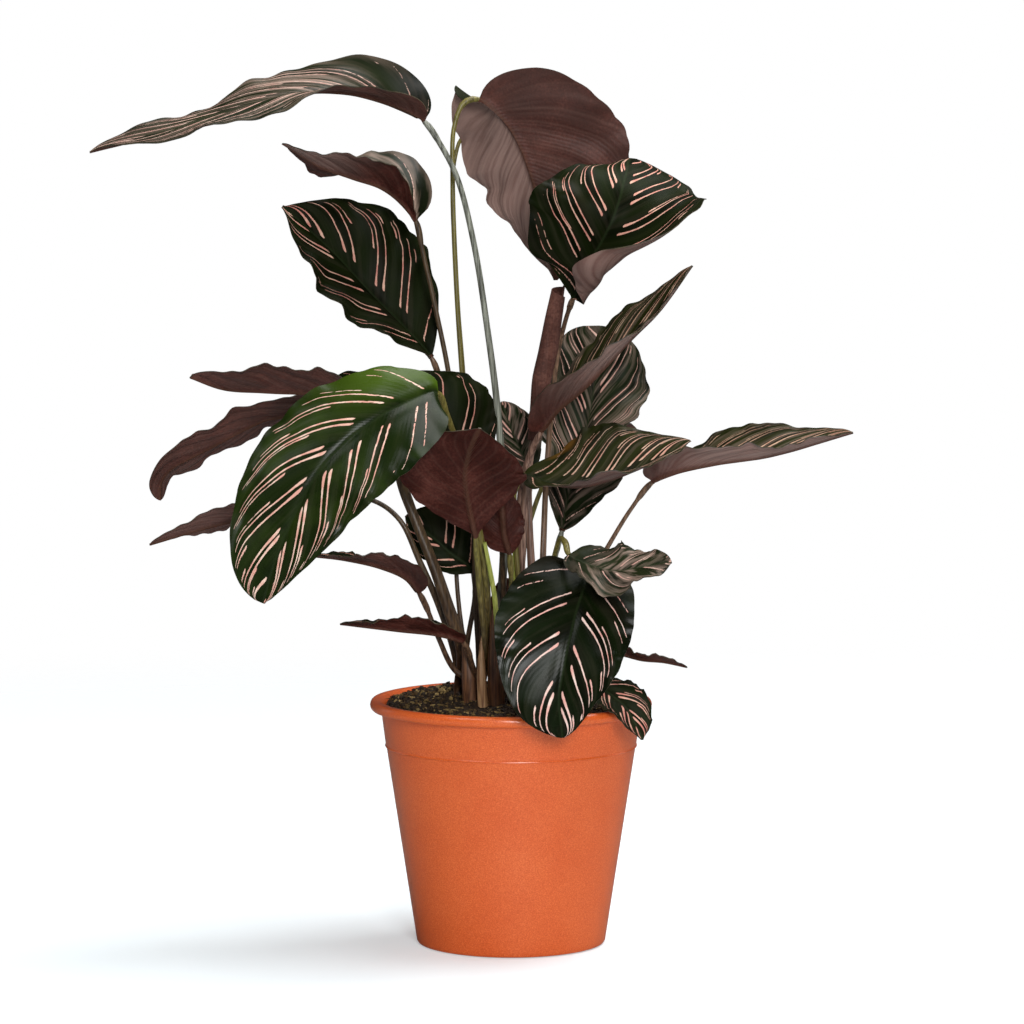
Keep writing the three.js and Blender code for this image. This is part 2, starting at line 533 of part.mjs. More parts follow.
// Soil: fills the pot up to a mounded, lumpy top, with a plain hole for each shoot
function soilTop(x, y) {
  const reach = Math.min(1, Math.hypot(x, y) / 76);
  const lumps = Math.sin(x * 0.31 + 1) * Math.cos(y * 0.27) + Math.sin(x * 0.13 - y * 0.19);
  return soil.edgeHeight + soil.tilt * y / 76 + soil.mound * (1 - reach ** 2)
    + soil.lump * lumps * (1 - reach ** 4);
}
const wallSlope = (pot.neckRadius - pot.wall - innerFoot - 0.2) / (lipTop - 3 - pot.floor - 2);
const soilFloor = pot.floor + gap;
const soilEdge = innerFoot + wallSlope * (soil.edgeHeight - soil.tilt - pot.floor - 2) - gap - 0.4;
const soilProfile = [[0, soilFloor], [innerFoot - 2.6, soilFloor], [innerFoot - 0.5, soilFloor + 2.6]];
for (let i = 0; i < soil.rings; i++) soilProfile.push([soilEdge * (1 - i / soil.rings), soil.edgeHeight]);
soilProfile.push([0, soil.edgeHeight]);
const soilGeometry = lathe(soilProfile, soil.segments);
const places = soilGeometry.attributes.position;
for (let i = 0; i < places.count; i++) {
  if (places.getZ(i) > soil.edgeHeight - 1) places.setZ(i, soilTop(places.getX(i), places.getY(i)));
}
let soilSolid = toSolid(soilGeometry);
const stubFoot = soil.edgeHeight - stubDepth;
for (const { foot, radius } of Object.values(shoots)) {
  soilSolid = soilSolid.subtract(toSolid(upright(radius + gap, stubFoot - gap, 170, ...foot, 12)));
}
add('soil', toGeometry(soilSolid), 'soil');

// Shoots: the foot of each, with its leaf stalks rising out of it
for (const [name, { foot, radius }] of Object.entries(shoots)) {
  const own = [...leaves, rolledLeaf].filter((leaf) => leaf.shoot === name);
  let solid = toSolid(upright(radius, stubFoot, stubTop, ...foot, 12));
  own.forEach((leaf, i) => {
    const turn = 2 * Math.PI * i / own.length;
    const spread = own.length > 1 ? Math.max(0, radius * 0.9 - stalk.footRadius * leaf.girth) : 0;
    const start = [foot[0] + spread * Math.cos(turn), foot[1] + spread * Math.sin(turn), stubFoot + 6];
    const grown = leaf === rolledLeaf ? { ...leaf, rib: leaf.path } : leaf;
    solid = solid.add(toSolid(stalkGeometry(grown, start)));
  });
  add(`stalks_${name}`, toGeometry(solid), 'stalk');
}

for (const leaf of leaves) add(`blade_${leaf.name}`, bladeGeometry(leaf), 'blade');

const rolledCurve = smoothCurve(rolledLeaf.path);
const rolledShares = Array.from({ length: 9 }, (_, i) => i / 8);
const rolled = pointsAlong(rolledCurve, 0, 1, rolledShares);
rolled.spine[0].addScaledVector(rolled.ways[0], gap);
const rolledRadii = rolledShares.map((share) => {
  const place = share * (rolledLeaf.radii.length - 1);
  const low = Math.min(rolledLeaf.radii.length - 2, Math.floor(place));
  return THREE.MathUtils.lerp(rolledLeaf.radii[low], rolledLeaf.radii[low + 1], place - low);
});
add('rolled_leaf', tube(rolled.spine, rolled.ways, rolledRadii, 10), 'rolled');

export default group;
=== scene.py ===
# A pinstripe calathea in its plastic grower's pot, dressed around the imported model
# Lengths in the dictionaries are millimetres; Blender's own are metres. The photo's camera looks along +Y.
import math

import bpy
import numpy as np
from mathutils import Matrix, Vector, noise


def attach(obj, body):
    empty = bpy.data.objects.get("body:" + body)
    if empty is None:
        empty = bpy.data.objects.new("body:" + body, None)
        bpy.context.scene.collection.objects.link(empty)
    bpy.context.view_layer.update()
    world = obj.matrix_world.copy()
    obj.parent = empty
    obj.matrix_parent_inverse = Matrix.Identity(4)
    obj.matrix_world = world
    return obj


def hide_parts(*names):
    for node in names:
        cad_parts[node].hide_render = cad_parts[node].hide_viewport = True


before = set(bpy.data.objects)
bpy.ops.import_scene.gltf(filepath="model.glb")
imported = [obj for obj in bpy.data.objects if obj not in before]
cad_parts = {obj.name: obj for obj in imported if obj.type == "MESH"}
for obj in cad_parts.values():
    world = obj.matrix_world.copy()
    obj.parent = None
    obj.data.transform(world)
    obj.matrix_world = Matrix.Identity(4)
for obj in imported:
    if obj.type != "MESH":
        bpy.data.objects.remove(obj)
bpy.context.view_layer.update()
mm = 0.001


# Small helpers

def linear(hexColour):  # an sRGB hex colour as the linear one that a shader takes
    parts = [int(hexColour[i:i + 2], 16) / 255 for i in (1, 3, 5)]
    return [c / 12.92 if c <= 0.04045 else ((c + 0.055) / 1.055) ** 2.4 for c in parts] + [1.0]


def fillNode(tree, node, inputs):  # an input takes a value, or a link from a socket or a node's first output
    for key, value in inputs.items():
        if isinstance(value, bpy.types.Node):
            value = value.outputs[0]
        if isinstance(value, bpy.types.NodeSocket):
            tree.links.new(value, node.inputs[key])
        else:
            node.inputs[key].default_value = value


def addNode(tree, kind, inputs=None, stops=None, **settings):  # a node with its settings, inputs and stops
    node = tree.nodes.new(kind)
    for key, value in settings.items():
        setattr(node, key, value)
    fillNode(tree, node, inputs or {})
    for i, (place, hexColour) in enumerate(stops or []):
        elements = node.color_ramp.elements
        element = elements[i] if i < len(elements) else elements.new(place)
        element.position = place
        element.color = linear(hexColour)
    return node


def noiseScale(width):  # from the width of the real grain, in millimetres
    return 1 / (width * mm)


def newMaterial(name):
    material = bpy.data.materials.new(name)
    material.use_nodes = True
    return material, material.node_tree, material.node_tree.nodes["Principled BSDF"]


def onlyThis(piece):  # operators act on all that is selected
    bpy.ops.object.select_all(action="DESELECT")
    piece.select_set(True)
    bpy.context.view_layer.objects.active = piece


def getPoints(piece):
    points = np.empty(len(piece.data.vertices) * 3)
    piece.data.vertices.foreach_get("co", points)
    return points.reshape(-1, 3)


def setPoints(piece, points):
    piece.data.vertices.foreach_set("co", np.ascontiguousarray(points, float).ravel())
    piece.data.update()


def applyAll(piece):
    onlyThis(piece)
    for modifier in list(piece.modifiers):
        bpy.ops.object.modifier_apply(modifier=modifier.name)


def thicken(piece, thickness, **settings):  # a second side, that many millimetres below the first
    solid = piece.modifiers.new("thick", "SOLIDIFY")
    solid.thickness = thickness * mm
    solid.offset = -1
    for key, value in settings.items():
        setattr(solid, key, value)
    applyAll(piece)


def finishPiece(piece, slot, *nodes):
    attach(piece, "root")
    if nodes:
        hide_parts(*nodes)


def addValue(mesh, name, values):  # one value a point, which a material reads by its name
    attribute = mesh.attributes.new(name, "FLOAT", "POINT")
    attribute.data.foreach_set("value", np.asarray(values, np.float32))


def addLayers(piece, layers, underSheen):  # the pattern's coordinates on each corner, and the lower side's painted sheen
    for name, values in layers.items():
        layer = piece.data.uv_layers.new(name=name)
        layer.data.foreach_set("uv", np.stack(values, 1).ravel())
    addValue(piece.data, "underSheen", underSheen)


def cornerVertices(piece):
    corners = np.empty(len(piece.data.loops), int)
    piece.data.loops.foreach_get("vertex_index", corners)
    return corners


def joinPieces(pieces, name):
    onlyThis(pieces[0])
    for piece in pieces:
        piece.select_set(True)
    if len(pieces) > 1:
        bpy.ops.object.join()
    pieces[0].name = name
    return pieces[0]


# Curves and lists, the same as in the part's source

def along(values, t):  # a value part way along a list that runs evenly from base to tip
    values = np.asarray(values, float)
    last = len(values) - 1
    i = np.minimum(last - 1, np.floor(t * last).astype(int))
    part = t * last - i
    a, b = values[i], values[i + 1]
    startSlope = (b - values[np.maximum(0, i - 1)]) / 2
    endSlope = (values[np.minimum(last, i + 2)] - a) / 2
    rise = part**2 * (3 - 2 * part)
    return a + (b - a) * rise + startSlope * part * (1 - part)**2 - endSlope * part**2 * (1 - part)


def smoothCurve(points, start, stop, steps=400):  # through every point, without loops where points crowd
    points = np.asarray(points, float)
    padded = np.vstack([2 * points[0] - points[1], points, 2 * points[-1] - points[-2]])
    place = np.linspace(start, stop, steps + 1)
    i = np.minimum(place.astype(int), len(points) - 2)
    w = (place - i)[:, None]
    p0, p1, p2, p3 = (padded[i + k] for k in range(4))
    d0, d1, d2 = (np.linalg.norm(b - a, axis=1)[:, None]**0.5 for a, b in ((p0, p1), (p1, p2), (p2, p3)))
    m1 = ((p1 - p0) / d0 - (p2 - p0) / (d0 + d1) + (p2 - p1) / d1) * d1
    m2 = ((p2 - p1) / d1 - (p3 - p1) / (d1 + d2) + (p3 - p2) / d2) * d1
    return p1 + m1 * w + (3 * p2 - 3 * p1 - 2 * m1 - m2) * w**2 + (2 * p1 - 2 * p2 + m1 + m2) * w**3


def pointsAlong(points, start, stop, shares):  # points at shares of the length, the way there and the length
    fine = smoothCurve(points, start, stop)
    gone = np.concatenate([[0], np.cumsum(np.linalg.norm(np.diff(fine, axis=0), axis=1))])
    steps = np.arange(len(fine))
    place = np.interp(shares, gone / gone[-1], steps)
    at = [np.stack([np.interp(place + off, steps, fine[:, k]) for k in range(3)], -1) for off in (-3, 0, 3)]
    ways = at[2] - at[0]
    return at[1], ways / np.linalg.norm(ways, axis=-1, keepdims=True), gone[-1]


# Leaf blades, on eight shoots whose feet and radii are the part's own
shoots = {
    "back": {"foot": [-4, 40], "radius": 6.2},
    "tall": {"foot": [-18, 25], "radius": 6.6},
    "left": {"foot": [-30, 8], "radius": 6.4},
    "front_left": {"foot": [-18, -10], "radius": 7},
    "centre": {"foot": [-2, 8], "radius": 6.4},
    "front": {"foot": [2, -24], "radius": 6.6},
    "right": {"foot": [16, 18], "radius": 6.6},
    "tight": {"foot": [17, -8], "radius": 7.4},
}

# Each leaf has the values of the part's source, with a few bent nearer to the real blade. Stalk and rib are
# points from foot to tip, and face is where the upper side looks. Width and shape are the halves' widths and
# outlines, wave the height and number of the margin's waves, lobe how far a half hangs back past the base.
# Fold and curl are how far each half is turned up, at the midrib and more towards its margin, in degrees. One
# list of shape or fold serves both halves, and one face the whole blade.
# The rest is this scene's own: look and stalkLook are finishes, pitch is the millimetres from one pair of
# stripes to the next, sweep how far the veins lean, pleat how high they swell, and the lower side's sheen how
# strong a pale grey-mauve sheen is painted on each half, standing in for the light its satin skin catches.
leaves = [
    {"name": "top_left", "shoot": "tall", "girth": 1.2, "look": "arched", "stalkLook": "grey", "sweep": 1.1,
     "pleat": 1.1, "underSheen": [0.15, 0.12],
     "stalk": [[-7, 12, 200], [-4, 5, 256], [-8, 2, 322], [-14, 0, 370], [-22, 0, 421], [-32, -2, 461],
         [-42, -4, 481]],
     "rib": [[-52, -5, 495], [-71, -12, 505], [-98, -22, 512], [-130, -32, 511], [-168, -40, 500],
         [-212, -45, 486], [-247, -45, 477]], "face": [[0.1, -0.5, 1], [0, -0.36, 1], [0, -0.36, 1]],
     "width": [25, 29], "shape": [[0.45, 0.8], [0.4, 0.8]], "wave": [3, 3],
     "fold": [[62, 30, 4, 2, 25], [78, 24, 0, 2, 30]]},
    {"name": "upper_left_curled", "shoot": "tall", "look": "sheen_streaked", "stalkLook": "brown", "pleat": 1.1,
     "underSheen": [[0.0, 0.0, 0.05, 0.3, 0.8, 0.9], 0.1],
     "stalk": [[-20, 18, 200], [-28, 10, 267], [-37, 6, 341], [-45, 4, 382], [-53, 2, 418]],
     "rib": [[-57, 0, 436], [-65, -6, 447], [-77, -12, 456], [-95, -18, 462], [-114, -22, 469],
         [-135, -24, 482]], "face": [[0.8, -0.1, 0.5], [0.4, 0.05, 0.9], [0, 0.13, 1], [0, 0, 1]],
     "width": [25, 44], "shape": [[1, 0.9], [0.45, 1]], "wave": [1, 3],
     "fold": [[20, 35, 18, 10], [50, 25, 0, -10]], "curl": [[0, 0, 0, 0], [-30, 0, 0, 0]]},
    {"name": "left_flat", "shoot": "tall", "stalkLook": "tan", "pitch": 20,
     "stalk": [[-20, 22, 200], [-24, 20, 250], [-33, 19, 304], [-43, 17, 340]],
     "rib": [[-48, 14, 353], [-64, 18, 371], [-85, 20, 392], [-106, 18, 415], [-137, 10, 444]],
     "face": [[0.1, -1, 0.1], [0.1, -1, 0.1], [0, -1, 0.2]], "width": [34, 45], "shape": [1, 1],
     "wave": [2.5, 4], "fold": [[55, 48, 45], [0, 0, 0]], "curl": [[0, 0, 0], [-10, -12, -10]]},
    {"name": "top_right_underside", "shoot": "tall", "pleat": 1.3, "underSheen": [1.0, 0.15],
     "stalk": [[-16, 22, 200], [-22, 18, 255], [-29, 14, 338], [-33, 13, 400], [-35, 14, 460],
         [-34, 16, 492], [-28, 18, 506]],
     "rib": [[-19, 20, 508], [-8, 20, 500], [2, 22, 487], [10, 24, 469], [18, 28, 441], [27, 34, 399]],
     "face": [[0.2, 1, 0.3], [0.1, 1, 0.2], [0, 1, 0]], "width": [45, 62],
     "shape": [[0.5, 1.2], [0.65, 0.8]], "wave": [2.5, 4], "lobe": [25, 3],
     "fold": [[50, 62, 45, 32, 28, 27, 26, 27, 28, 28, 28, 27, 26, 25, 24, 22, 20], [0, 0, 0]],
     "curl": [[0, 0, 0], [8, 10, 10]]},
    {"name": "right_cupped", "shoot": "right", "stalkLook": "tan", "pitch": 15, "underSheen": [0.3, 0.6],
     "scallop": 0.5, "stalk": [[19, 20, 220], [22, 24, 290], [28, 17, 354], [32, 8, 373], [35, -6, 384]],
     "rib": [[37, -16, 390], [43, -22, 402], [47, -28, 413], [54, -33, 425], [61, -34, 440],
         [66, -27, 456], [69, -10, 467], [71, 8, 473]],
     "face": [[0, -1, 0.1], [0, -1, 0.2], [0, -0.7, 0.7]], "width": [50, 53],
     "shape": [[1.1, 1.5], [0.7, 0.6]], "wave": [3, 4], "fold": [[0, 10, 10, 0], [0, 0, -8, -5]],
     "curl": [[0, 0, -10, 0], [440, 300, 160, 50, -10, -40]]},
    {"name": "right_folded", "shoot": "tight", "girth": 1.45, "look": "olive", "stalkLook": "pink",
     "pitch": 16, "sweep": 1.15, "underSheen": [[0.0, 0.5, 1.0, 1.0, 0.9], [0.0, 0.4, 1.0, 1.0, 0.9]],
     "stalk": [[9, -10, 200], [5, -12, 256], [8, -17, 286], [14, -22, 303]],
     "rib": [[18, -25, 311], [27, -27, 324], [40, -30, 335], [54, -33, 349], [70, -34, 366],
         [88, -33, 384], [107, -30, 410]], "face": [[-0.7, 0, 0.7], [-0.7, 0, 0.7], [-0.6, -0.1, 0.7]],
     "width": [26, 24], "shape": [0.6, 0.9], "wave": [1.5, 3], "lobe": 8,
     "fold": [[30, 30, 38, 39, 30], [55, 40, 14, 7, 6]]},
    {"name": "right_behind", "shoot": "right", "look": "dim", "stalkLook": "grey", "scallop": 2.2,
     "stalk": [[24, 26, 205], [28, 33, 235]],
     "rib": [[31, 36, 246], [35, 38, 267], [42, 41, 292], [48, 45, 316], [51, 49, 334], [54, 54, 354],
         [55, 62, 370]], "face": [[0, -1, 0.1], [0, -1, 0.1], [0, -0.8, 0.5]], "width": [31, 34],
     "shape": [[0.8, 0.35], [0.7, 0.5]], "wave": [4.5, 3], "fold": [[25, 20, 0, 0], [20, 15, 45, 0, 0]]},
    {"name": "right_level", "shoot": "tight", "look": "scarred", "pitch": 14, "sweep": 1.12,
     "underSheen": [0.3, 0.5], "stalk": [[6, -14, 210], [2, -18, 262], [3, -25, 278]],
     "rib": [[8, -30, 286], [22, -36, 282], [38, -40, 280], [54, -43, 283], [71, -44, 289],
         [89, -42, 297], [106, -38, 307]], "face": [[0, -0.45, 1], [0, -0.45, 1], [-0.1, -0.45, 1]],
     "width": [38, 32], "shape": [0.7, 0.9], "wave": [1.5, 3],
     "fold": [[20, 33, 35, 30, 20], [0, 28, 35, 30, 20]]},
    {"name": "far_right", "shoot": "right", "girth": 0.9, "look": "olive", "stalkLook": "tan", "pitch": 16,
     "sweep": 1.15, "underSheen": [[0.2, 0.8, 0.8, 0.7], [0.2, 0.8, 0.8, 0.7]],
     "stalk": [[33, 14, 194], [56, 8, 235], [72, 4, 262]],
     "rib": [[85, 0, 279], [97, -3, 285], [122, -8, 291], [155, -12, 296], [204, -15, 310]],
     "face": [0, 0, 1], "width": [25, 24], "shape": [0.5, 0.8], "wave": [2, 3], "lobe": 6,
     "fold": [[25, 28, 58, 45, 40], [48, 36, 21, 17, 12]]},
    {"name": "front_right", "shoot": "front", "look": "glossy", "stalkLook": "tan", "pitch": 23,
     "scallop": 0.3, "stalk": [[10, -28, 190], [28, -38, 224], [40, -50, 240]],
     "rib": [[46, -60, 237], [43, -74, 225], [37, -88, 207], [32, -97, 186], [28, -100, 163],
         [30, -98, 138]], "face": [[0.1, -0.8, 0.6], [0, -1, 0.4], [0, -1, 0]], "width": [35, 45],
     "shape": [0.5, 0.7], "wave": [1, 3], "lobe": 6, "fold": [[10, 10, 15, 20], [0, 0, 5, 10]],
     "curl": [[-15, -15, 0, 0], [-20, -15, 0, 0]]},
    {"name": "right_wavy", "shoot": "front", "look": "grey_sheen", "sweep": 0.8,
     "stalk": [[14, -30, 190], [24, -44, 232], [29, -62, 251], [32, -73, 249]],
     "rib": [[34, -79, 243], [46, -85, 238], [60, -91, 235], [77, -96, 238], [93, -99, 241]],
     "face": [0, -0.5, 0.85], "width": [19, 20], "shape": [0.5, 0.6], "wave": [5, 2],
     "fold": [[20, 10, 10], [10, 0, 0]]},
    {"name": "over_rim", "shoot": "front", "stalkLook": "tan", "pitch": 15,
     "stalk": [[12, -24, 166], [28, -28, 166]],
     "rib": [[42, -36, 162], [57, -48, 158], [68, -60, 150], [77, -75, 134]],
     "face": [[0.2, -0.5, 0.8], [0.3, -0.6, 0.7], [0.5, -0.8, 0.3]], "width": [17, 16], "shape": [0.7, 0.8],
     "wave": [1, 2], "fold": [10, 10, 10]},
    {"name": "right_low", "shoot": "right", "stalkLook": "tan", "stalk": [[26, 14, 170]],
     "rib": [[54, 5, 176], [66, 4, 175], [79, 0, 172], [92, -4, 171], [106, -6, 168]],
     "face": [[0, 0.4, 0.9], [0, 0.3, 0.95], [0, 0.2, 1]], "width": [13, 12], "shape": [0.7, 0.8],
     "wave": [1, 2], "fold": [15, 10, 10]},
    {"name": "front_left", "shoot": "front_left", "girth": 1.2, "look": "bright", "pitch": 21,
     "scallop": 0.7,
     "stalk": [[-14, -22, 190], [-16, -36, 236], [-23, -42, 272], [-32, -50, 306], [-38, -59, 325]],
     "rib": [[-43, -66, 337], [-56, -76, 334], [-75, -86, 325], [-97, -93, 309], [-114, -97, 289],
         [-127, -98, 264], [-137, -97, 240], [-144, -92, 216]],
     "face": [[0, -0.9, 0.4], [0, -0.9, 0.4], [0, -0.95, 0.3]], "width": [39, 40],
     "shape": [[0.45, 0.85], [0.45, 0.5]], "wave": [1.5, 4], "fold": [[10, 10, 10], [10, 5, 5]],
     "curl": [[0, -10, -10], [-55, -20, 0]]},
    {"name": "left_upper", "shoot": "left", "girth": 1.8, "stalkLook": "brown", "pleat": 1.2,
     "underSheen": [0.15, 0.18],
     "stalk": [[-29, -6, 179], [-37, -12, 203], [-45, -14, 227], [-57, -14, 257], [-66, -12, 281],
         [-70, -4, 314]],
     "rib": [[-76, 5, 337], [-91, 4, 334], [-121, 0, 333], [-149, -6, 334], [-172, -12, 336],
         [-191, -16, 343]], "face": [[0, -0.3, 1], [0, 0, 1], [0, 0.05, 1], [0, 0, 1]], "width": [27, 26],
     "shape": [0.6, 0.5], "wave": [2, 3], "fold": [[30, 34, 34, 30], [45, 10, 10, 20]]},
    {"name": "left_long", "shoot": "left", "stalkLook": "brown", "pleat": 1.2, "underSheen": [0.18, 0.22],
     "stalk": [[-36, 14, 190], [-52, 20, 240], [-70, 34, 290], [-84, 48, 324]],
     "rib": [[-99, 56, 332], [-129, 54, 318], [-153, 50, 312], [-175, 46, 301], [-194, 42, 291],
         [-207, 38, 284], [-213, 36, 276], [-214, 34, 265]],
     "face": [[-0.1, 0.5, 1], [-0.3, 0.55, 0.8], [-0.4, 0.55, 0.8], [-0.7, 0.5, 0.5]], "width": [19, 19],
     "shape": [0.6, 0.5], "wave": [2, 4], "fold": [10, 10, 10]},
    {"name": "left_low", "shoot": "left", "stalkLook": "brown", "underSheen": [0.3, 0.3],
     "stalk": [[-34, 2, 177], [-43, -2, 204], [-55, -5, 232], [-67, -6, 257], [-84, 2, 268]],
     "rib": [[-109, 10, 268], [-139, 5, 263], [-166, 0, 256], [-190, -4, 250], [-217, -6, 242]],
     "face": [[0, 0.5, 0.9], [0, 0.6, 0.8], [0, 0.5, 0.9]], "width": [14, 13], "shape": [0.6, 0.8],
     "wave": [1.5, 3], "fold": [15, 15, 15]},
    {"name": "left_arched", "shoot": "front_left", "stalkLook": "tan", "underSheen": [0.12, 0.12],
     "stalk": [[-34, -12, 167], [-43, -18, 186], [-51, -22, 207]],
     "rib": [[-55, -25, 215], [-62, -28, 224], [-77, -32, 231], [-99, -35, 236], [-117, -36, 238]],
     "face": [[0.5, 0, 0.8], [0.1, 0.1, 1], [0, 0, 1]], "width": [19, 19], "shape": [0.5, 0.8],
     "wave": [1, 2], "fold": [[45, 20, 10], [30, 15, 15]]},
    {"name": "left_lowest", "shoot": "front_left", "stalkLook": "tan", "underSheen": [0.0, 0.0],
     "stalk": [[-22, -24, 168]],
     "rib": [[-29, -38, 187], [-42, -42, 192], [-66, -46, 195], [-101, -48, 199]],
     "face": [[0, 0, 1], [0, 0.2, 1], [0, 0, 1]], "width": [17, 17], "shape": [0.55, 0.8], "wave": [1, 2],
     "fold": [[25, 22, 15], [30, 20, 15]]},
    {"name": "centre_underside", "shoot": "front_left", "girth": 1.3, "underSheen": [0.0, 0.0],
     "stalk": [[-15, -26, 180], [-18, -34, 212], [-20, -40, 236]],
     "rib": [[-21, -45, 250], [-25, -52, 270], [-27, -62, 287], [-24, -74, 304], [-18, -88, 318]],
     "face": [[0, 0.8, 0.5], [0, 0.8, 0.7], [0, 0.6, 0.8]], "width": [36, 39], "shape": [1.3, 1.25],
     "wave": [1, 2], "fold": [10, 10, 10], "curl": [[-10, -20, -10], [0, 0, 0]]},
    {"name": "centre_dark", "shoot": "centre", "underSheen": [0.0, 0.0], "stalk": [[0, -14, 196], [0, -24, 222]],
     "rib": [[-1, -30, 239], [-4, -33, 250], [-5, -35, 264], [-6, -36, 280]], "face": [0, 1, 0.1],
     "width": [13, 15], "shape": [0.6, 0.8], "wave": [1, 2], "fold": [10, 10, 10]},
    {"name": "centre_left", "shoot": "centre", "stalkLook": "brown",
     "stalk": [[-4, -2, 200], [-6, -18, 250], [-8, -28, 274]],
     "rib": [[-14, -33, 285], [-27, -36, 301], [-41, -38, 319], [-53, -36, 333], [-63, -34, 347]],
     "face": [0, -1, 0.2], "width": [30, 32], "shape": [1, 0.9], "wave": [2, 3],
     "fold": [[10, 10, 10], [5, 5, 5]]},
    {"name": "centre_small", "shoot": "centre", "look": "dim", "stalkLook": "tan",
     "stalk": [[4, 16, 200], [10, 22, 262]],
     "rib": [[11, 23, 283], [5, 24, 298], [-1, 24, 312], [-5, 24, 326]], "face": [0, -1, 0.2],
     "width": [10, 16], "shape": [0.7, 0.7], "wave": [1.5, 2], "fold": [10, 10, 10]},
    {"name": "centre_low", "shoot": "centre", "underSheen": [0.0, 0.0], "stalk": [[1, 22, 170]],
     "rib": [[2, 30, 181], [0, 33, 194], [-2, 34, 206], [-4, 34, 217]], "face": [0, 1, 0.1],
     "width": [13, 12], "shape": [0.6, 0.6], "wave": [1, 2], "fold": [10, 10, 10]},
    {"name": "low_left", "shoot": "left", "stalkLook": "brown", "stalk": [[-26, 4, 184], [-22, 2, 208]],
     "rib": [[-22, 1, 224], [-35, 2, 235], [-49, 2, 247], [-63, 2, 259]], "face": [0, -1, 0.2],
     "width": [14, 26], "shape": [0.8, 0.8], "wave": [1.5, 2], "fold": [0, 0, 0]},
    {"name": "back_left", "shoot": "back", "stalk": [[-14, 50, 200], [-34, 62, 270]],
     "rib": [[-52, 72, 306], [-74, 86, 312], [-98, 100, 300], [-120, 112, 272]],
     "face": [[0, 0.3, 0.9], [-0.2, 0.5, 0.9], [-0.5, 0.7, 0.5]], "width": [34, 34], "shape": [0.7, 0.8],
     "wave": [2, 4], "fold": [15, 10, 5]},
    {"name": "back_right", "shoot": "back", "stalk": [[0, 52, 200], [16, 68, 262]],
     "rib": [[30, 78, 290], [42, 96, 300], [50, 118, 296], [58, 142, 276]],
     "face": [[0, 0, 1], [0.2, 0.4, 0.9], [0.3, 0.8, 0.5]], "width": [34, 34], "shape": [0.7, 0.8],
     "wave": [2, 4], "fold": [15, 10, 5]},
    {"name": "back_top", "shoot": "back", "girth": 0.85,
     "stalk": [[-22, 46, 220], [-29, 46, 336], [-33.5, 47, 400], [-34.5, 49, 470], [-28, 55, 486]],
     "rib": [[-8, 62, 474], [6, 78, 480], [20, 98, 474], [30, 120, 452]],
     "face": [[0, -0.3, 1], [0.1, 0.3, 1], [0.2, 0.8, 0.6]], "width": [32, 32], "shape": [0.7, 0.8],
     "wave": [2, 4], "fold": [20, 10, 5]},
]

blade = {
    "thickness": 0.55,          # at the margin; the part's own is 0.9
    "ribDepth": 1.5, "ribDepthAtTip": 0.3, "ribHalfWidth": 1.3, "grooveDepth": 0.35,
    "lobePlace": 0.07, "baseHalfWidth": 1.6, "tipHalfWidth": 0.6,
    "rowStep": 1.5, "columns": 48, "crowding": 1.15,        # columns stand a little denser at the margin
    "pairPitch": 20,            # from one pair of stripes to the next along the midrib
    "pleat": 0.7,               # how far the leaf swells between two pairs
    "ruffle": 0.7, "ruffles": (6.3, 10.7),      # small waves of the margin, and how many
    "shoulder": 0.25, "shoulderPlace": 4, "shoulderWidth": 2.5,     # the swelling on each side of the midrib
    "wavePhases": (0.3, 0.75),      # where the left and the right margin's waves start
    "scallop": 1.6, "scallopAt": 40,    # how far its bays cut in, where a half is so wide
    "bays": ((4.3, 0.37, 1.0), (7.1, 0.61, 0.6), (12.7, 0.83, 0.4)),    # each set's number, shift and share
    "bayMean": 1.27,
    "halfShift": 0.35,          # how far the right half's pairs stand off the left half's, in pairs
    "tipSpread": 0.22,          # the last pairs stand further apart
    "numberStep": 100, "halfStep": 40,      # keep the chance of one leaf and half from that of the next
    # each half's painted sheen on the lower side, where a leaf gives none
    "underSheen": (0.15, 0.15),
}


def veinRoots(t, reach, sweep):  # where along the midrib the side vein through a point starts
    low, high = np.zeros_like(t), np.ones_like(t)
    # Near the base a vein runs out sideways, and further on it bends along the midrib
    sideways, alongRib = 0.55 * reach + 0.3 * reach**4, 1 - (1 - reach)**2.2
    for _ in range(26):     # halving the gap so often finds the root far finer than it shows
        middle = (low + high) / 2
        late = np.clip((middle - 0.3) / 0.55, 0, 1)
        drawn = (sideways + (alongRib - sideways) * late**2 * (3 - 2 * late)) * sweep
        far = middle + (1 - middle) * (1 - np.exp(-middle / 0.2)) * drawn > t
        low, high = np.where(far, low, middle), np.where(far, middle, high)
    return (low + high) / 2


def scallops(t, seed):  # the margin's shallow bays and small points
    bays = 0.0
    for number, shift, share in blade["bays"]:
        bays = bays + share * np.abs(np.sin(np.pi * (number * t + shift * seed)))
    return bays - blade["bayMean"]


def bothHalves(values):  # one list serves both halves
    return values if isinstance(values[0], list) else [values, values]


def outline(shape, t):  # half width as a share of the widest
    start, end = shape
    widest = start / (start + end)
    inside = np.clip(t, 1e-6, 1 - 1e-6)
    return (inside / widest)**start * ((1 - inside) / (1 - widest))**end


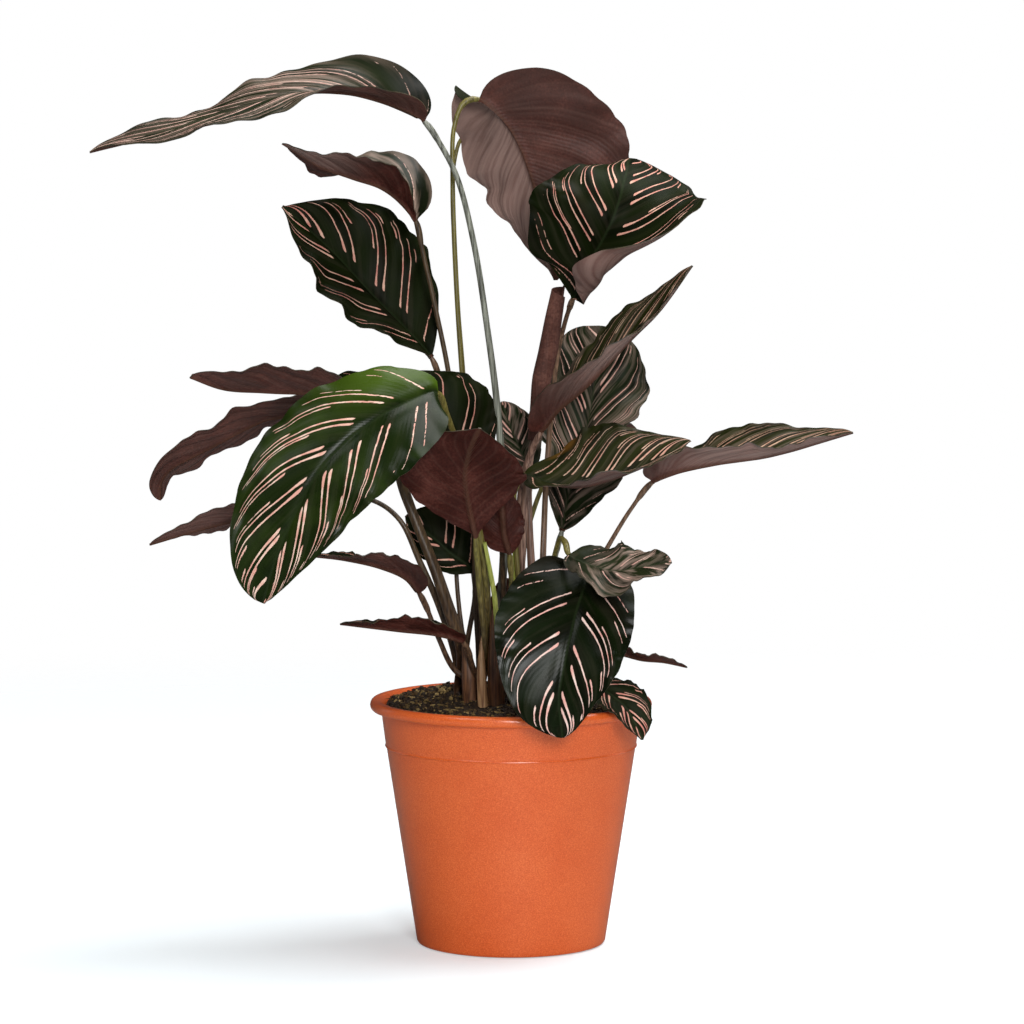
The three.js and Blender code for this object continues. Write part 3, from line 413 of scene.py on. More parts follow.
# The blade's middle, its normal, the distance from the midrib, the half width and the length
def bladeSurface(leaf, t, s):
    curve = [leaf["stalk"][-1]] + leaf["rib"]
    spine, ways, length = pointsAlong(curve, 1, len(leaf["rib"]), t)
    face = np.atleast_2d(np.asarray(leaf["face"], float))
    if len(face) == 1:
        face = np.repeat(face, 2, 0)
    up = np.stack([along(face[:, k], t) for k in range(3)], -1)
    up -= ways * (up * ways).sum(-1, keepdims=True)
    up /= np.linalg.norm(up, axis=-1, keepdims=True)
    across = np.cross(ways, up)
    least = blade["baseHalfWidth"] + (blade["tipHalfWidth"] - blade["baseHalfWidth"]) * t
    left = s < 0
    lobes = leaf.get("lobe", 0)
    lobe = np.where(left, *lobes) if isinstance(lobes, list) else lobes
    lobe = lobe * t / blade["lobePlace"] * np.exp(1 - t / blade["lobePlace"])
    curls = leaf.get("curl", [[0, 0], [0, 0]])
    widest = np.where(left, leaf["width"][0], leaf["width"][1])
    share = np.where(left, *(outline(shape, t) for shape in bothHalves(leaf["shape"])))
    halfWidth = np.maximum(least, widest * share)
    u = np.abs(s) * halfWidth
    fold = np.radians(np.where(left, *(along(half, t) for half in bothHalves(leaf["fold"]))))
    bend = np.radians(np.where(left, *(along(half, t) for half in curls))) / widest
    bend = np.where(np.abs(bend) < 1e-6, 1e-6, bend)
    angle = fold + bend * u
    out = (np.sin(angle) - np.sin(fold)) / bend
    lift = (np.cos(fold) - np.cos(angle)) / bend
    height, waves = leaf["wave"]
    ripple = np.sin(2 * np.pi * (waves * t + np.where(left, *blade["wavePhases"])))
    wave = height * s * s * np.sin(np.pi * t) * ripple
    out -= wave * np.sin(angle)
    lift += wave * np.cos(angle)
    seed = len(leaf["name"]) + leaf["rib"][0][2] + np.where(left, 0.0, 5.0)
    bays = blade["scallop"] * leaf.get("scallop", 1) * scallops(t, seed)
    out += bays * s**2 * np.sin(np.pi * t) * np.sqrt(widest / blade["scallopAt"])
    side = np.sign(s)
    middle = spine + across * (side * out)[..., None] + up * lift[..., None]
    middle -= ways * (lobe * s * s)[..., None]
    normal = up * np.cos(angle)[..., None] - across * (side * np.sin(angle))[..., None]
    normal = np.where((s == 0)[..., None], up, normal)
    return middle, normal, u, halfWidth, length


def localPitch(points, veins):  # millimetres from one pair to the next, square to the veins
    halves = []
    middle = points.shape[1] // 2
    for columns in (slice(0, middle + 1), slice(middle, None)):
        rowWay, columnWay = np.gradient(points[:, columns], axis=(0, 1))
        rowRise, columnRise = np.gradient(veins[:, columns], axis=(0, 1))
        e, f, g = (columnWay**2).sum(-1), (columnWay * rowWay).sum(-1), (rowWay**2).sum(-1)
        slope = g * columnRise**2 - 2 * f * columnRise * rowRise + e * rowRise**2
        halves.append(np.sqrt(np.maximum(e * g - f**2, 1e-9) / np.maximum(slope, 1e-12)))
    return np.clip(np.hstack([halves[0][:, :-1], halves[1]]), 1, 60)


def buildBlade(leaf, number):
    _, _, length = pointsAlong([leaf["stalk"][-1]] + leaf["rib"], 1, len(leaf["rib"]), np.zeros(1))
    rows = int(max(36, length / blade["rowStep"]))
    bpy.ops.mesh.primitive_grid_add(x_subdivisions=blade["columns"], y_subdivisions=rows, size=2)
    piece = bpy.context.object
    piece.name = "leaf_" + leaf["name"]
    flat = getPoints(piece)
    order = np.lexsort((np.round(flat[:, 0], 5), np.round(flat[:, 1], 5)))
    wide = len(np.unique(np.round(flat[:, 0], 5)))
    s = np.round(flat[order, 0], 5).reshape(-1, wide)
    even = (flat[order, 1].reshape(-1, wide) + 1) / 2
    t = (even + (1 - np.cos(np.pi * even)) / 2) / 2
    s = np.sign(s) * (1 - (1 - np.abs(s))**blade["crowding"])
    middle, normal, u, halfWidth, length = bladeSurface(leaf, t, s)

    pairs = max(3, round(length / leaf.get("pitch", blade["pairPitch"])))
    roots = veinRoots(t, np.abs(s), leaf.get("sweep", 1))
    veins = roots * (1 - blade["tipSpread"] * roots**3) * pairs
    reach = np.abs(s)
    phase = np.where(s < 0, 0.0, blade["halfShift"])
    pleatHeight = leaf.get("pleat", blade["pleat"])
    pleat = -np.cos(2 * np.pi * (veins + phase)) * reach**0.7 * (1 - reach**6) * np.sin(np.pi * t)**0.5
    groove = np.exp(-(u / blade["ribHalfWidth"])**2)
    shoulder = np.exp(-((u - blade["shoulderPlace"]) / blade["shoulderWidth"])**2)
    few, many = blade["ruffles"]
    small = np.sin(2 * np.pi * (few * t + number)) + np.sin(2 * np.pi * (many * t + 0.6 * number))
    small = small * reach**5 * np.sin(np.pi * t)
    fadeIn = np.clip(t / 0.06, 0, 1)
    relief = pleatHeight * pleat + blade["ruffle"] * small
    relief = relief - blade["grooveDepth"] * groove * fadeIn + blade["shoulder"] * shoulder
    top = middle + normal * (relief + blade["thickness"] / 2)[..., None]
    pitch = localPitch(top, veins)

    points = np.empty_like(flat)
    points[order] = top.reshape(-1, 3) * mm
    setPoints(piece, points)

    # Rib depth as weights for Solidify, then the pattern's coordinates
    ribDepth = (blade["ribDepth"] + (blade["ribDepthAtTip"] - blade["ribDepth"]) * t) * groove
    deepest = blade["thickness"] + blade["ribDepth"]
    weights = (blade["thickness"] + ribDepth) / deepest
    group = piece.vertex_groups.new(name="thick")
    for index, weight in zip(order, weights.ravel()):
        group.add([int(index)], float(weight), "REPLACE")
    place = np.empty(len(flat), int)
    place[order] = np.arange(len(flat))
    corners = place[cornerVertices(piece)]
    sides = np.repeat(np.sign(s.ravel()[corners].reshape(-1, 4).sum(1)), 4)
    base = blade["numberStep"] * number + np.where(sides > 0, blade["halfStep"] + blade["halfShift"], 0.0)
    layers = {
        "veins": (veins.ravel()[corners] + base, s.ravel()[corners]),
        "reach": (pitch.ravel()[corners] / 100, u.ravel()[corners] / 100),
        "share": (t.ravel()[corners], halfWidth.ravel()[corners] / 100),
    }
    # Each half's painted sheen on the lower side, pale where the skin would catch the light, and none at the
    # midrib
    halves = leaf.get("underSheen", blade["underSheen"])
    halves = [along(half, t) if isinstance(half, list) else half for half in halves]
    underSheen = np.empty(len(flat))
    underSheen[order] = (np.where(s < 0, *halves) * np.clip(u / 3, 0, 1)).ravel()
    addLayers(piece, layers, underSheen)

    for material in (leafTop[leaf.get("look", "dark")], leafUnder, leafMargin):
        piece.data.materials.append(material)
    thicken(piece, deepest, vertex_group="thick", use_quality_normals=True, material_offset=1,
            material_offset_rim=2)
    bpy.ops.object.shade_smooth_by_angle(angle=math.radians(50))
    finishPiece(piece, "leaf", "blade_" + leaf["name"])


# Living leaf, upper side: a waxy, near-black green skin, with pairs of pale pink stripes between its veins.
# Wide is the stripes' width, rough and shine the skin's gloss, and the sheen strength how strong the painted
# grey-pink sheen streaks are, standing in for light on the waxy pleats, from and to what share of the blade's
# length.
waxySkin = {"paintedSheenStrength": 0.03, "paintedSheenFrom": 0.12, "paintedSheenTo": 1.0}
oliveSkin = {**waxySkin, "green": "#25290C", "deep": "#0F1205", "lit": "#363E14"}
# These looks carry a strong painted sheen: grey-pink streaks that stand in for light on the waxy pleats
paintedSheenSkin = {**waxySkin, "green": "#1C230E", "deep": "#0D1206", "lit": "#2E3819",
              "rough": 0.4, "shine": 0.12, "paintedSheenStrength": 0.85}
topLooks = {
    "dark": {**waxySkin, "green": "#131A06", "deep": "#080C02", "lit": "#22300D",
             "pink": "#CA8678", "pale": "#DDB19C", "wide": 0.72, "rough": 0.45, "shine": 0.04},
    "glossy": {**waxySkin, "green": "#0F1806", "deep": "#070B03", "lit": "#1A290D",
               "pink": "#E4A79B", "pale": "#F6D8CB", "wide": 0.86, "rough": 0.27, "shine": 0.12},
    "bright": {**waxySkin, "green": "#182408", "deep": "#0F1B05", "lit": "#465E12",
               "pink": "#E2A594", "pale": "#F3D0BD", "wide": 0.86, "rough": 0.27, "shine": 0.14},
    "olive": {**oliveSkin, "pink": "#B98A74", "pale": "#CDAA90", "wide": 0.6, "rough": 0.42, "shine": 0.07,
              "paintedSheenStrength": 0.3},
    "scarred": {**oliveSkin, "pink": "#CC9884", "pale": "#DEBCA4", "wide": 0.68, "rough": 0.4, "shine": 0.09,
                "paintedSheenStrength": 0.14},
    "dim": {**waxySkin, "green": "#161F0B", "deep": "#090D05", "lit": "#27321A",
            "pink": "#B8887B", "pale": "#CDA899", "wide": 0.56, "rough": 0.4, "shine": 0.06,
            "paintedSheenStrength": 0.5, "paintedSheenFrom": -0.1},
    "grey_sheen": {**paintedSheenSkin, "pink": "#B98E82", "pale": "#C9AA9B", "wide": 0.5},
    "arched": {**paintedSheenSkin, "pink": "#C2978A", "pale": "#D2B3A4", "wide": 0.6, "paintedSheenTo": 0.42},
    "sheen_streaked": {**paintedSheenSkin, "pink": "#B98E82", "pale": "#C9AA9B", "wide": 0.6,
                 "paintedSheenStrength": 1.3, "paintedSheenFrom": -0.25},
}
leafSkin = {
    # The first colour is the grey-pink of the painted sheen along the veins, standing in for light on the
    # pleats
    "paintedSheen": "#927D70", "midrib": "#25301A",
    "finePerPair": 9,       # fine side veins, about 2 mm apart
    "mottle": 25, "tint": 6.25, "margin": 8.33, "cell": 1.11,   # mm; real cells are finer, and wouldn't show
}
stripe = {
    "gap": 0.14,            # from a pair's middle to each stripe, as a share of the pitch
    "halfWidth": 0.55, "tipHalfWidth": 0.18, "bulb": 0.5, "bulbLength": 6.5, "edge": 0.13,
    "firstStart": 0.17, "lastStart": 0.06,      # from the midrib, as shares of the half's width
    "crowded": 11,          # stripes narrow where the pitch is less than this
    "outerGap": 0.13,       # from a stripe to its broken companion
    "stray": 0.07,          # how far a stripe's place may vary
    "wander": 0.09, "tremble": 0.02,
}


def pinstripeTop(name, look):
    material, tree, shader = newMaterial(name)
    maths = "ShaderNodeMath"
    maps = {}
    for layer in ("veins", "reach", "share"):
        place = addNode(tree, "ShaderNodeUVMap", uv_map=layer)
        maps[layer] = addNode(tree, "ShaderNodeSeparateXYZ", {0: place}).outputs
    share, veins, signed = maps["share"][0], maps["veins"][0], maps["veins"][1]
    pitch, fromRib, halfWidth = (
        addNode(tree, maths, {0: socket, 1: 100}, operation="MULTIPLY")
        for socket in (maps["reach"][0], maps["reach"][1], maps["share"][1]))
    side = addNode(tree, maths, {0: signed}, operation="ABSOLUTE")
    whichPair = addNode(tree, maths, {0: veins}, operation="FLOOR")
    within = addNode(tree, maths, {0: veins}, operation="FRACT")

    # A slow wander and a finer tremble, from pair to pair, so that no stripe is drawn with a ruler
    wanderPlace = addNode(tree, "ShaderNodeCombineXYZ", {0: veins, 1: side})
    wandered = within
    for wavesPerPair, strength in ((2.0, stripe["wander"]), (9.0, stripe["tremble"])):
        wander = addNode(tree, "ShaderNodeTexNoise", {
            "Vector": wanderPlace, "Scale": wavesPerPair, "Detail": 1.0})
        wandered = addNode(tree, maths, {0: wander, 1: strength, 2: wandered}, operation="MULTIPLY_ADD")
        wandered = addNode(tree, maths, {0: wandered, 1: strength / 2}, operation="SUBTRACT")
    worn = addNode(tree, "ShaderNodeTexNoise", {"Vector": wanderPlace, "Scale": 26.0, "Detail": 2.0})
    wearing = addNode(tree, "ShaderNodeMapRange", {
        "Value": share, "From Min": 0.05, "From Max": 0.35, "To Min": 2.6, "To Max": 0.35})
    worn = addNode(tree, "ShaderNodeMapRange", {"Value": worn, "From Min": 0.5, "From Max": 0.72})
    worn = addNode(tree, maths, {0: worn, 1: wearing}, operation="MULTIPLY")
    crowded = addNode(tree, "ShaderNodeMapRange", {
        "Value": pitch, "From Min": 2.0, "From Max": stripe["crowded"], "To Min": 0.25, "To Max": 1.0})

    startAt = addNode(tree, "ShaderNodeMapRange", {
        "Value": share, "From Min": 0.1, "From Max": 0.8, "To Min": stripe["firstStart"],
        "To Max": stripe["lastStart"]})
    bulbSize = addNode(tree, "ShaderNodeMapRange", {
        "Value": share, "From Min": 0.25, "From Max": 0.5, "To Min": 0.12, "To Max": stripe["bulb"]})
    # Each line: its place in the pair, where it starts, how much that varies, where it ends, and its width
    gap, outer = stripe["gap"], stripe["gap"] + stripe["outerGap"]
    lines = [
        {"at": 0.5 - gap, "from": 0.0, "extra": 0.08, "to": 0.90, "wide": 1.0, "lot": 3.1},
        {"at": 0.5 + gap, "from": 0.0, "extra": 0.08, "to": 0.94, "wide": 1.0, "lot": 7.7},
        {"at": 0.5 - outer, "from": 0.3, "extra": 0.9, "to": 0.88, "wide": 0.6, "lot": 1.3},
        {"at": 0.5 + outer, "from": 0.25, "extra": 0.8, "to": 0.9, "wide": 0.65, "lot": 5.9},
    ]
    marks = None
    for line in lines:
        drawn = addNode(tree, maths, {0: whichPair, 1: line["lot"]}, operation="ADD")
        random = addNode(tree, "ShaderNodeTexWhiteNoise", {"W": drawn}, noise_dimensions="1D")
        centre = addNode(tree, maths, {
            0: random, 1: stripe["stray"], 2: line["at"] - stripe["stray"] / 2}, operation="MULTIPLY_ADD")
        aside = wandered
        for operation, value in (("SUBTRACT", centre), ("ABSOLUTE", 0), ("MULTIPLY", pitch)):
            aside = addNode(tree, maths, {0: aside, 1: value}, operation=operation)
        start = addNode(tree, maths, {0: random, 1: line["extra"], 2: line["from"]}, operation="MULTIPLY_ADD")
        for operation, value in (("ADD", startAt), ("MULTIPLY", halfWidth)):
            start = addNode(tree, maths, {0: start, 1: value}, operation=operation)
        before = start
        for operation, value in (("SUBTRACT", fromRib), ("MAXIMUM", 0)):
            before = addNode(tree, maths, {0: before, 1: value}, operation=operation)
        away = addNode(tree, "ShaderNodeCombineXYZ", {0: aside, 1: before})
        away = addNode(tree, "ShaderNodeVectorMath", {0: away}, operation="LENGTH").outputs["Value"]
        bulbEnd = addNode(tree, maths, {0: start, 1: stripe["bulbLength"]}, operation="ADD")
        bulb = addNode(tree, "ShaderNodeMapRange", {
            "Value": fromRib, "From Min": start, "From Max": bulbEnd, "To Min": bulbSize, "To Max": 0.0},
            interpolation_type="SMOOTHSTEP")
        taper = addNode(tree, "ShaderNodeMapRange", {
            "Value": side, "From Min": line["to"] - 0.5, "From Max": line["to"],
            "To Min": stripe["halfWidth"] * line["wide"], "To Max": stripe["tipHalfWidth"]})
        ended = addNode(tree, "ShaderNodeMapRange", {
            "Value": side, "From Min": line["to"] - 0.02, "From Max": line["to"] + 0.02,
            "To Min": 0.0, "To Max": 1.5})
        worse = addNode(tree, maths, {0: worn, 1: 1.3 - line["wide"] * 0.9}, operation="MULTIPLY")
        inside = addNode(tree, maths, {0: bulb, 1: line["wide"], 2: taper}, operation="MULTIPLY_ADD")
        for operation, value in (("MULTIPLY", crowded), ("MULTIPLY", look["wide"]), ("SUBTRACT", away),
                                 ("SUBTRACT", ended), ("SUBTRACT", worse)):
            inside = addNode(tree, maths, {0: inside, 1: value}, operation=operation)
        mark = addNode(tree, "ShaderNodeMapRange", {
            "Value": inside, "From Min": -stripe["edge"], "From Max": stripe["edge"]})
        marks = mark if marks is None else addNode(tree, maths, {0: marks, 1: mark}, operation="MAXIMUM")

    # Greens: blackest beside the stripes, a little lighter on the swelling between two pairs
    objectPlace = addNode(tree, "ShaderNodeTexCoord").outputs["Object"]
    mottle = addNode(tree, "ShaderNodeTexNoise", {
        "Vector": objectPlace, "Scale": noiseScale(leafSkin["mottle"]), "Detail": 3.0})
    lighter = addNode(tree, "ShaderNodeMapRange", {
        "Value": mottle, "From Min": 0.45, "From Max": 0.85, "To Min": 0.0, "To Max": 0.3})
    swell = within
    for operation, value in (("SUBTRACT", 0.5), ("ABSOLUTE", 0), ("MULTIPLY", 2)):
        swell = addNode(tree, maths, {0: swell, 1: value}, operation=operation)
    # Painted sheen: grey-pink streaks along the veins, painted where the waxy pleats catch the light
    sheenPlace = addNode(tree, "ShaderNodeCombineXYZ", {
        0: addNode(tree, maths, {0: veins, 1: 4.0}, operation="MULTIPLY"), 1: side})
    sheenStreaks = addNode(tree, "ShaderNodeTexNoise", {"Vector": sheenPlace, "Scale": 1.3, "Detail": 3.0})
    sheenStreaks = addNode(tree, "ShaderNodeMapRange", {"Value": sheenStreaks, "From Min": 0.44, "From Max": 0.6})
    sheenBands = addNode(tree, "ShaderNodeTexNoise", {"Vector": sheenPlace, "Scale": 0.42, "Detail": 1.0})
    sheenBands = addNode(tree, "ShaderNodeMapRange", {
        "Value": sheenBands, "From Min": 0.4, "From Max": 0.56, "To Min": 0.3, "To Max": 1.0})
    onwards = addNode(tree, "ShaderNodeMapRange", {
        "Value": share, "From Min": look["paintedSheenFrom"], "From Max": look["paintedSheenFrom"] + 0.24,
        "To Min": min(0.1, look["paintedSheenStrength"]), "To Max": look["paintedSheenStrength"]})
    leaving = addNode(tree, "ShaderNodeMapRange", {
        "Value": share, "From Min": look["paintedSheenTo"], "From Max": look["paintedSheenTo"] + 0.2,
        "To Min": 1.0, "To Max": 0.3})
    for factor in (sheenBands, onwards, leaving):
        sheenStreaks = addNode(tree, maths, {0: sheenStreaks, 1: factor}, operation="MULTIPLY")
    ground = linear(look["deep"])
    for factor, colour in ((swell, look["green"]), (lighter, look["lit"]), (sheenStreaks, leafSkin["paintedSheen"])):
        ground = addNode(tree, "ShaderNodeMix", {
            "Factor": factor, 6: ground, 7: linear(colour)}, data_type="RGBA").outputs[2]
    return material, tree, shader, {
        "share": share, "signed": signed, "fromRib": fromRib, "veins": veins, "marks": marks,
        "ground": ground, "object": objectPlace, "mottle": mottle}


youngGlow = {"shares": (0.1, 0.46), "outwards": (0.05, 0.6), "most": 0.75}      # of the length and the half
dryScar = {
    "place": (0.16, -0.9, 0.0), "scale": (5.5, 3.6, 0.0), "ragged": 0.9, "most": 0.8, "colour": "#6E4B1C",
}


def finishTop(name, look):
    material, tree, shader, at = pinstripeTop(name, look)
    maths = "ShaderNodeMath"
    ground = at["ground"]
    if name == "pinstripe_leaf_bright":     # light falls through the young leaf's raised half near its base
        nearBase = addNode(tree, "ShaderNodeMapRange", {
            "Value": at["share"], "From Min": youngGlow["shares"][0], "From Max": youngGlow["shares"][1],
            "To Min": 1.0, "To Max": 0.0}, interpolation_type="SMOOTHSTEP")
        outer = addNode(tree, "ShaderNodeMapRange", {
            "Value": at["signed"], "From Min": youngGlow["outwards"][0], "From Max": youngGlow["outwards"][1],
            "To Min": 0.0, "To Max": youngGlow["most"]})
        glow = addNode(tree, maths, {0: nearBase, 1: outer}, operation="MULTIPLY")
        ground = addNode(tree, "ShaderNodeMix", {
            "Factor": glow, 6: ground, 7: linear(look["lit"])}, data_type="RGBA").outputs[2]
    if name == "pinstripe_leaf_scarred":    # a dry, torn patch on the margin near the base
        patch = addNode(tree, "ShaderNodeVectorMath", {
            0: addNode(tree, "ShaderNodeCombineXYZ", {0: at["share"], 1: at["signed"]}),
            1: dryScar["place"]}, operation="SUBTRACT")
        patch = addNode(tree, "ShaderNodeVectorMath", {0: patch, 1: dryScar["scale"]}, operation="MULTIPLY")
        patch = addNode(tree, "ShaderNodeVectorMath", {0: patch}, operation="LENGTH").outputs["Value"]
        torn = addNode(tree, maths, {
            0: at["mottle"], 1: dryScar["ragged"], 2: patch}, operation="MULTIPLY_ADD")
        torn = addNode(tree, "ShaderNodeMapRange", {
            "Value": torn, "From Min": 0.65, "From Max": 1.15, "To Min": dryScar["most"], "To Max": 0.0})
        ground = addNode(tree, "ShaderNodeMix", {
            "Factor": torn, 6: ground, 7: linear(dryScar["colour"])}, data_type="RGBA").outputs[2]

    # Midrib: a thin paler line in its groove; margin: a dull edge with no stripe
    rib = addNode(tree, "ShaderNodeMapRange", {
        "Value": at["fromRib"], "From Min": 0.35, "From Max": 1.1, "To Min": 0.5, "To Max": 0.0})
    ground = addNode(tree, "ShaderNodeMix", {
        "Factor": rib, 6: ground, 7: linear(leafSkin["midrib"])}, data_type="RGBA").outputs[2]
    tint = addNode(tree, "ShaderNodeTexNoise", {
        "Vector": at["object"], "Scale": noiseScale(leafSkin["tint"]), "Detail": 1.0})
    paint = addNode(tree, "ShaderNodeMix", {
        "Factor": addNode(tree, "ShaderNodeMapRange", {"Value": tint, "From Min": 0.35, "From Max": 0.65}),
        6: linear(look["pink"]), 7: linear(look["pale"])}, data_type="RGBA").outputs[2]
    colour = addNode(tree, "ShaderNodeMix", {"Factor": at["marks"], 6: ground, 7: paint}, data_type="RGBA")

    # Fine side veins and the skin's cells
    phase = addNode(tree, maths, {0: at["veins"], 1: 2 * math.pi * leafSkin["finePerPair"]},
                    operation="MULTIPLY")
    ribs = addNode(tree, maths, {0: phase}, operation="SINE")
    cells = addNode(tree, "ShaderNodeTexNoise", {
        "Vector": at["object"], "Scale": noiseScale(leafSkin["cell"]), "Detail": 2.0})
    height = addNode(tree, maths, {0: ribs, 1: 0.35, 2: cells}, operation="MULTIPLY_ADD")
    bump = addNode(tree, "ShaderNodeBump", {"Height": height, "Strength": 0.12, "Distance": 0.0002})
    gloss = addNode(tree, "ShaderNodeMapRange", {
        "Value": at["mottle"], "From Min": 0.3, "From Max": 0.7, "To Min": look["rough"] - 0.05,
        "To Max": look["rough"] + 0.08})
    fillNode(tree, shader, {
        "Base Color": colour.outputs[2], "Normal": bump, "Roughness": gloss, "IOR": 1.45,
        "Specular IOR Level": look["shine"]})
    return material


# Living leaf, lower side: a satin aubergine skin, with faint paler lines where stripes and veins lie above
undersides = {
    "leaf_underside": ["#2B110D", "#401D17", "#5A3028"],
    "young_leaf_underside": ["#331812", "#4E2A22", "#74493D"],
}
lowerSkin = {
    # The first colour is the pale grey-mauve of the painted sheen, standing in for light on the satin skin
    "underSheen": "#92776E", "line": "#8A6A5C", "midrib": "#5E4434",
    "mottle": 22.2, "grain": 1.43,      # mm, drawn coarser than the real skin's cells
}


def leafUnderside(name, colours):
    material, tree, shader = newMaterial(name)
    maths = "ShaderNodeMath"
    (veins, signed, _), reach = (
        addNode(tree, "ShaderNodeSeparateXYZ", {0: addNode(tree, "ShaderNodeUVMap", uv_map=layer)}).outputs
        for layer in ("veins", "reach"))
    pitch, fromRib = (addNode(tree, maths, {0: socket, 1: 100}, operation="MULTIPLY")
                      for socket in (reach[0], reach[1]))
    within = addNode(tree, maths, {0: veins}, operation="FRACT")
    objectPlace = addNode(tree, "ShaderNodeTexCoord").outputs["Object"]
    mottle, grain = (
        addNode(tree, "ShaderNodeTexNoise", {
            "Vector": objectPlace, "Scale": noiseScale(lowerSkin[key]), "Detail": detail})
        for key, detail in (("mottle", 5.0), ("grain", 2.0)))
    mixed = addNode(tree, maths, {0: grain, 1: 0.45, 2: mottle}, operation="MULTIPLY_ADD")
    ground = addNode(tree, "ShaderNodeValToRGB", {0: mixed}, stops=list(zip((0.45, 0.72, 0.95), colours)))
    # Painted sheen: a pale grey-mauve in streaks along the veins, standing in for light on the satin skin
    underSheen = addNode(tree, "ShaderNodeAttribute", attribute_name="underSheen").outputs["Fac"]
    sheenPlace = addNode(tree, "ShaderNodeCombineXYZ", {
        0: addNode(tree, maths, {0: veins, 1: 6.0}, operation="MULTIPLY"), 1: signed})
    sheenStreaks = addNode(tree, "ShaderNodeTexNoise", {"Vector": sheenPlace, "Scale": 1.2, "Detail": 3.0})
    sheenStreaks = addNode(tree, "ShaderNodeMapRange", {
        "Value": sheenStreaks, "From Min": 0.3, "From Max": 0.7, "To Min": 0.45, "To Max": 1.25})
    underSheen = addNode(tree, maths, {0: underSheen, 1: sheenStreaks}, operation="MULTIPLY")
    crowded = addNode(tree, "ShaderNodeMapRange", {"Value": pitch, "From Min": 5.0, "From Max": 14.0})
    lines = None
    for place in (0.36, 0.64, 0.0, 1.0):
        aside = within
        for operation, value in (("SUBTRACT", place), ("ABSOLUTE", 0), ("MULTIPLY", pitch)):
            aside = addNode(tree, maths, {0: aside, 1: value}, operation=operation)
        line = addNode(tree, "ShaderNodeMapRange", {
            "Value": aside, "From Min": 0.1, "From Max": 1.2, "To Min": 0.06, "To Max": 0.0})
        lines = line if lines is None else addNode(tree, maths, {0: lines, 1: line}, operation="MAXIMUM")
    lines = addNode(tree, maths, {0: lines, 1: crowded}, operation="MULTIPLY")
    rib = addNode(tree, "ShaderNodeMapRange", {
        "Value": fromRib, "From Min": 0.7, "From Max": 1.7, "To Min": 0.38, "To Max": 0.0})
    for factor, key in ((underSheen, "underSheen"), (lines, "line"), (rib, "midrib")):
        ground = addNode(tree, "ShaderNodeMix", {
            "Factor": factor, 6: ground, 7: linear(lowerSkin[key])}, data_type="RGBA").outputs[2]
    phase = addNode(tree, maths, {0: veins, 1: 2 * math.pi * leafSkin["finePerPair"]}, operation="MULTIPLY")
    ribs = addNode(tree, maths, {0: phase}, operation="SINE")
    height = addNode(tree, maths, {0: ribs, 1: 0.3, 2: grain}, operation="MULTIPLY_ADD")
    bump = addNode(tree, "ShaderNodeBump", {"Height": height, "Strength": 0.5, "Distance": 0.0003})
    fillNode(tree, shader, {
        "Base Color": ground, "Normal": bump, "Roughness": 0.48, "Specular IOR Level": 0.12})
    return material


# The leaf's cut edge: a thin, dull olive line
def leafEdge():
    material, tree, shader = newMaterial("leaf_margin")
    objectPlace = addNode(tree, "ShaderNodeTexCoord").outputs["Object"]
    mottle = addNode(tree, "ShaderNodeTexNoise", {
        "Vector": objectPlace, "Scale": noiseScale(leafSkin["margin"]), "Detail": 2.0})
    ramp = addNode(tree, "ShaderNodeValToRGB", {0: mottle}, stops=[(0.35, "#241E12"), (0.7, "#4A4028")])
    fillNode(tree, shader, {"Base Color": ramp, "Roughness": 0.55})
    return material


leafTop = {key: finishTop("pinstripe_leaf_" + key, look) for key, look in topLooks.items()}
leafUnder, youngUnder = (leafUnderside(name, colours) for name, colours in undersides.items())
leafMargin = leafEdge()
for number, leaf in enumerate(leaves):
    buildBlade(leaf, number)
print("leaf blades done")


# Leaf stalks, and the dry and young sheaths at their feet
stalk = {
    "footRadius": 2.7, "neckRadius": 1.35, "cushionRadius": 1.9, "cushionLength": 13,
    "coreRadius": 3.9,          # the part's own foot, which sets how the feet spread
    "stubFoot": 123.6,          # how deep a stalk's own foot stands, above the pot's foot
    "stubTop": 146, "sides": 24, "rings": 110, "sheathThickness": 0.35,
    "turnEach": 1.1,            # from one stalk of a shoot to the next, in radians
    "groove": 0.2, "grooveWidth": 0.45, "flatness": 0.28, "flatTurn": 0.9, "ridges": 5, "ridge": 0.05,
}
# Petiole skin: satin and fibrous, brown and purple where it sheathes at the soil, then its own colour. Its
# fibres are drawn wider than the real ones, so that they show.
fibre = {"width": 1.11, "length": 41.7, "blotch": 16.7, "footColours": ["#1C120C", "#402818", "#6B5138"]}
stalkLooks = {
    "olive": ["#544B21", "#837A3C"], "grey": ["#42433A", "#97998B"], "brown": ["#36281B", "#5A472F"],
    "pink": ["#4C3329", "#9C7B6A"], "tan": ["#4A3527", "#8A6B53"], "fresh": ["#87903A", "#B4B65C"],
    "dry": ["#7C5638", "#C59C72"], "papery": ["#3C2418", "#7C5539"],
}


